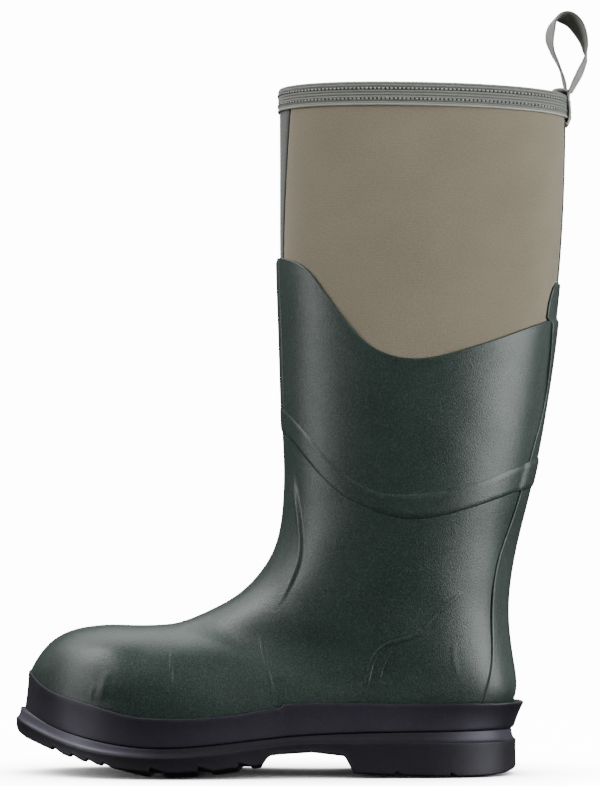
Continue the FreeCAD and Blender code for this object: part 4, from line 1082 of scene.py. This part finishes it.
def bite(x, q, at_rim=False):
    """Depth of the grooves between lugs at x, q inside the rim: steep on the toe side, sloping back."""
    depth = np.zeros(np.broadcast(x, q).shape)
    for x0, deep, wide, slant, reach in NOTCHES:
        d = x - x0 - np.minimum(q, reach) * math.tan(math.radians(slant))
        inside = 0.0 if at_rim else smoothstep(1.0, 9.0, q)
        taper = np.clip(1 - d / (wide + 1.0 * inside), 0, 1)
        if not at_rim:
            taper = np.maximum(taper, inside * smoothstep(wide, wide - 1.4, d))
        full = deep + (GROOVE - deep) * inside
        depth = np.maximum(depth, full * smoothstep(-0.2, 0.3, d) * taper)
    return depth


def sole_wall(x):
    """Rows of the outsole's side, from the rim of the lugs up over the lip and bevel, and in on top."""
    rim = np.interp(x, RIM[:, 0], RIM[:, 1]) + bite(x, np.zeros(len(x)), True)
    lip, bevel = lip_line(x), bevel_line(x)
    rows = [(0.85, rim), (0.3, rim + 0.15), (0.05, rim + 0.7)]
    rows += [(0.56 * s * (1 - s), rim + 1.2 + (lip - rim - 2.4) * s) for s in np.linspace(0, 1, 9)]
    rows += [(0.02, lip - 0.7), (0.2, lip - 0.25), (0.55, lip + 0.02)]
    rows += [(inset, lip + 0.3 + (bevel - lip - 0.6) * s) for inset, s in
             ((1.0, 0.0), (1.65, 0.16), (2.15, 0.4), (2.5, 0.7))]
    rows += [(2.7, bevel - 0.5), (3.0, bevel - 0.1), (8.3, bevel - 0.1), (8.4, bevel - 3.1)]
    return np.stack([np.column_stack([EDGE - EDGE_OUT * inset, z]) for inset, z in rows])


FIRST_PAINTED_HIGHLIGHT_ROW, LAST_PAINTED_HIGHLIGHT_ROW = 15, 20  # rows of the bevel in sole_wall, glossier and painted with a highlight


def tread(first, last, across):
    """Points of the underside between paired points of the rim: lugs, grooves, middle lane and arch."""
    s = np.linspace(0, 1, across + 2)[1:-1][None, :, None]
    inner = first[:, None] + (last - first)[:, None] * s
    wide = np.linalg.norm((last - first)[:, :2], axis=1)[:, None]
    q = np.minimum(s[..., 0], 1 - s[..., 0]) * wide
    x = inner[..., 0]
    ground = np.interp(x, FLOOR_LINE[:, 0], FLOOR_LINE[:, 1])
    edge = np.interp(x, RIM[:, 0], RIM[:, 1])
    lane = np.abs(inner[..., 1] - (first[:, 1] + last[:, 1])[:, None] / 2)
    middle = window(x, -141, -138, -42, -39) + window(x, 39, 42, 98, 101)
    cut = np.maximum(bite(x, q), 3.6 * middle * (1 - smoothstep(1.9, 2.9, lane)))
    inner[..., 2] = edge + (ground - edge) * smoothstep(0.5, 8.0, q) + cut * (1 - window(x, -23, -20, 24, 28))
    return inner


def outsole():
    """The outsole: wall, underside and lid in one closed mesh. The cloth attribute marks its bevel, which is
    glossier and painted paler as a highlight at toe and heel.
    """
    wall = sole_wall(EDGE[:, 0])
    rows, n = wall.shape[:2]
    half, across = n // 2, some(72)
    a = np.arange(half + 1)
    b = (n - a) % n
    inner = tread(wall[0][a], wall[0][b], across)[1:-1]
    grid = np.empty((half + 1, across + 2), int)
    grid[:, 0], grid[:, -1] = a, b
    grid[1:-1, 1:-1] = rows * n + np.arange(inner.shape[0] * across).reshape(-1, across)
    g = grid[1:-1]
    top = (rows - 1) * n
    k = np.arange(half)
    lid = np.stack([top + k, top + k + 1, top + (n - k - 1) % n, top + (n - k) % n], -1)
    quads = [grid_quads(rows, n, True),
             np.stack([g[:-1, :-1], g[:-1, 1:], g[1:, 1:], g[1:, :-1]], -1).reshape(-1, 4), lid[1:-1]]
    tris = [np.stack([np.full(across + 1, tip), line[:-1], line[1:]], -1)
            for tip, line in ((a[0], grid[1]), (a[-1], grid[-2]))]
    tris += [lid[:1, [0, 1, 2]], lid[-1:, [0, 1, 3]]]
    points = np.concatenate([wall.reshape(-1, 3), inner.reshape(-1, 3)])
    # the bevel rows get gloss and a painted highlight, full at the toe and half as strong at the heel
    gloss_and_painted_highlight = np.zeros(len(points))
    x = EDGE[:, 0]
    ends = np.clip(smoothstep(-80, -122, x) + 0.5 * smoothstep(70, 105, x), 0, 1)
    gloss_and_painted_highlight[FIRST_PAINTED_HIGHLIGHT_ROW * n:(LAST_PAINTED_HIGHLIGHT_ROW + 1) * n] = np.tile(ends, LAST_PAINTED_HIGHLIGHT_ROW + 1 - FIRST_PAINTED_HIGHLIGHT_ROW)
    add_mesh("outsole_lugged", points, np.concatenate(quads), np.concatenate(tris), slot="outsole_rubber",
             nodes=("outsole",), cloth=weave(gloss_and_painted_highlight, 0.0))


def level(values, n=21):
    """The values smoothed over n neighbours."""
    weights = np.hanning(n + 2)[1:-1] / (n + 1) * 2
    return np.convolve(np.pad(values, n // 2, mode="edge"), weights, mode="valid")


def foxing(name, keep, low, high, top_add, tuck, node, shell_tree):
    """A length of the band round the foot: wall, rounded top edge, and a ledge back to the shell.

    low and high say how far out the wall is at two heights, as outline_points takes it. top_add raises the
    top edge and tuck draws the foot of the wall in, both by x.
    """
    (z0, off0), (z1, off1) = low, high
    wire0, wire1 = outline_at(PLACES[keep], off0), outline_at(PLACES[keep], off1)
    x = (wire0 + wire1)[:, 0] / 2
    bottom, top = bevel_line(x), foxing_line(x) + top_add(x)
    push = tuck(x)

    def wall(z, inset):
        at = wire0 + (wire1 - wire0) * ((z - z0) / (z1 - z0))[:, None]
        out = push * np.clip((z - bottom) / (top - bottom), 0, 1) ** 0.5 - tuck(x) - inset
        return np.column_stack([at + EDGE_OUT[keep] * out[:, None], z])

    def gaps(z):
        """How far the shell's skin lies inside the wall at a height."""
        far = 9                                     # start of each ray, outside the wall
        found = []
        for (px, py, pz), (nx, ny) in zip(wall(z, 0.0), EDGE_OUT[keep]):
            start = Vector((px + far * nx, py + far * ny, pz)) * MM
            hit = shell_tree.ray_cast(start, Vector((-nx, -ny, 0)), 0.04)
            found.append(hit[3] / MM - far if hit[0] is not None else 8.0)
        return np.clip(np.array(found), -8.0, 14.0)

    short = np.maximum(0, 0.8 - np.minimum(gaps(top - 0.5), gaps(top - 3.0)))
    short = level(np.max([np.roll(short, k) for k in range(-4, 5)], axis=0))
    push = push + short * smoothstep(5, 22, np.abs(x - JOIN_X))
    reach = np.clip(level(gaps(top - 0.4)), 0.4, 14.0)
    ripple = 0.1 * np.sin(np.arange(len(x)) * 0.11) + 0.06 * np.sin(np.arange(len(x)) * 0.31)
    soft = np.minimum(0.9, 0.45 * reach)
    rows = [(bottom + 0.1, 6.5), (bottom, 1.2), (bottom + 0.12, 0.5), (bottom + 0.6, 0.08)]
    rows += [(bottom + 1.1 + (top - bottom - 2.1) * s, 0.35 * math.sin(s * math.pi))
             for s in np.linspace(0, 1, 12)]
    rows += [(top - 0.45 + ripple, 0.1), (top - 0.12 + ripple, 0.4 * soft), (top + ripple, soft),
             (top + 0.05 + ripple, soft + 0.4 * np.maximum(reach - soft, 0)), (top + ripple, reach + 0.3),
             (top - 0.5, reach + 1.4), (bottom + 4.0, reach + 1.6)]
    ring(name, np.stack([wall(*row) for row in rows]), False, slot="foxing_rubber", nodes=(node,))


def foxing_bands(tree):
    """The toe bumper and the heel band, which sits proud where it laps the bumper."""
    n = len(PLACES)
    x = outline_at(PLACES, (-2.5, -4.0, 0.0))[:, 0]
    order = np.roll(np.arange(n), n // 2)            # starts and ends at the heel
    toe = order[x[order] < JOIN_X]
    heel = np.arange(n)[x >= JOIN_X - 1.2]
    foxing("foxing_toe_bumper", toe, (15.0, (-2.3, -2.8, -0.6)), (70.0, (-2.8, -8.6, 4.4)), lambda x: 0 * x,
           lambda x: 0 * x, "toe_bumper", tree)
    foxing("foxing_heel_band", heel, (25.0, (-2.15, -4.2, -2.2)), (45.0, (-2.65, -6.6, 5.9)),
           lambda x: 1.8 * np.clip(1 - (x - JOIN_X) / 38.0, 0, 1) * smoothstep(JOIN_X - 0.3, JOIN_X + 3.0, x),
           lambda x: 0.25 * (1 - smoothstep(JOIN_X, JOIN_X + 14.0, x)), "heel_foxing", tree)


# ---------------------------------------------------------------- build
shell = rubber_shell()
rubber_calf_band()
rubber_shin_strip()
rubber_spine_strip()
shaft()
sock_foot()
lining()
top_binding()
binding_stitches()
pull_loop()
loop_tabs()
outsole()
tree = BVHTree.FromObject(shell, bpy.context.evaluated_depsgraph_get())
rubber_beads(tree)
foxing_bands(tree)
soft_copy("footbed_foam_layer", "footbed", 1.2, "footbed_foam")
soft_copy("footbed_fabric_layer", "footbed_cover", 0.5, "footbed_fabric")

INSIDE = {"midsole": "midsole_foam", "insole_board": "fibre_board", "shank": "shank_steel",
          "toe_cap": "cap_composite", "toe_cap_edge": "edge_foam", "heel_counter": "counter_board"}
for node, slot in INSIDE.items():
    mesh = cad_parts[node].data
    mesh.materials.clear()
    mesh.materials.append(LOOKS[slot])


# ---------------------------------------------------------------- floor, light and camera
CAMERA_BACK, CAMERA_HEIGHT, LOOK_AT_HEIGHT = 1.870, 0.146, 0.2265
FLOOR_GAP = 0.0006


def studio_floor():
    """A pale floor that glows white, with a painted contact shadow where the boot is near, and neither lights
    nor reflects in the boot.
    """
    me = bpy.data.meshes.new("studio_floor")
    me.from_pydata([(-9, -9, 0), (9, -9, 0), (9, 9, 0), (-9, 9, 0)], [], [(0, 1, 2, 3)])
    obj = bpy.data.objects.new("studio_floor", me)
    obj.location = (0, 0, -FLOOR_GAP)
    bpy.context.scene.collection.objects.link(obj)
    p = Paint("studio_floor", Roughness=0.9, Specular_IOR_Level=0.0, Emission_Color=(1, 1, 1))
    # ambient occlusion dims the glow near the boot: a painted contact shadow
    near = p.node("ShaderNodeAmbientOcclusion", {"Distance": 0.10}, samples=8)
    glow_outside_painted_shadow = p.math("POWER", near.outputs["AO"], 2.2)
    p.shade(Emission_Strength=p.math("MULTIPLY", glow_outside_painted_shadow, 13.0),
            Base_Color=p.ramp(p.noise(2.0, 2.0), (0.3, 0.78), (0.7, 0.80)))
    me.materials.append(LOOKS["studio_floor"])
    obj.visible_diffuse = obj.visible_glossy = False


def soft_light(name, turn, away, height, size, power, tint=(1, 1, 1), aim=(0.03, 0, 0.2)):
    """A softbox seen from the boot at an angle from the camera, left negative."""
    data = bpy.data.lights.new(name, "AREA")
    data.shape, data.size, data.size_y = "RECTANGLE", size[0], size[1]
    data.energy, data.color = power, tint
    obj = bpy.data.objects.new(name, data)
    obj.location = (away * math.sin(math.radians(turn)) + 0.03, -away * math.cos(math.radians(turn)), height)
    obj.rotation_euler = (Vector(aim) - obj.location).to_track_quat("-Z", "Y").to_euler()
    bpy.context.scene.collection.objects.link(obj)


def surroundings():
    """A weak sky that dims below the horizon, and a white backdrop that only the camera sees."""
    world = bpy.data.worlds.new("studio")
    bpy.context.scene.world = world
    world.use_nodes = True
    sky = Nodes(world.node_tree)
    up = sky.split(sky.node("ShaderNodeTexCoord", {}).outputs["Generated"], "Z")
    ranges = {"From Min": -0.35, "From Max": 0.25, "To Min": 0.04, "To Max": 0.19}
    strength = sky.node("ShaderNodeMapRange", {"Value": up, **ranges}).outputs["Result"]
    glow = sky.node("ShaderNodeBackground", {"Color": (0.95, 0.97, 1.0), "Strength": strength})
    seen = sky.node("ShaderNodeBackground", {"Color": (1, 1, 1), "Strength": 14.0})
    by_camera = sky.node("ShaderNodeLightPath", {}).outputs["Is Camera Ray"]
    both = sky.node("ShaderNodeMixShader", {0: by_camera, 1: glow.outputs[0], 2: seen.outputs[0]})
    sky.feed(world.node_tree.nodes["World Output"].inputs[0], both.outputs[0])


def view():
    """A long lens in front of the boot's outer side, aimed a little up."""
    data = bpy.data.cameras.new("view")
    data.lens, data.sensor_width, data.clip_start = 142.8, 36.0, 0.05
    camera = bpy.data.objects.new("view", data)
    camera.location = (-0.001, -CAMERA_BACK, CAMERA_HEIGHT)
    camera.rotation_euler = (math.radians(90) + math.atan2(LOOK_AT_HEIGHT - CAMERA_HEIGHT, CAMERA_BACK), 0, 0)
    bpy.context.scene.collection.objects.link(camera)
    bpy.context.scene.camera = camera


studio_floor()
soft_light("strip_left", -66, 1.5, 0.4, (0.55, 1.2), 12.0)
soft_light("box_high_left", -64, 1.15, 1.3, (0.7, 0.6), 18.0, (1, 1, 1), (-0.03, 0, 0.1))
soft_light("box_left", -108, 1.5, 0.85, (1.3, 1.3), 2.0)
soft_light("box_right", 59, 1.5, 0.5, (1.15, 1.6), 55.0, (0.97, 0.99, 1.0))
soft_light("rim_right", 116, 1.5, 0.4, (0.9, 1.2), 2.0)
soft_light("box_top", -150, 0.6, 1.4, (3.0, 1.2), 38.0, (0.97, 0.99, 1.0))
surroundings()
view()
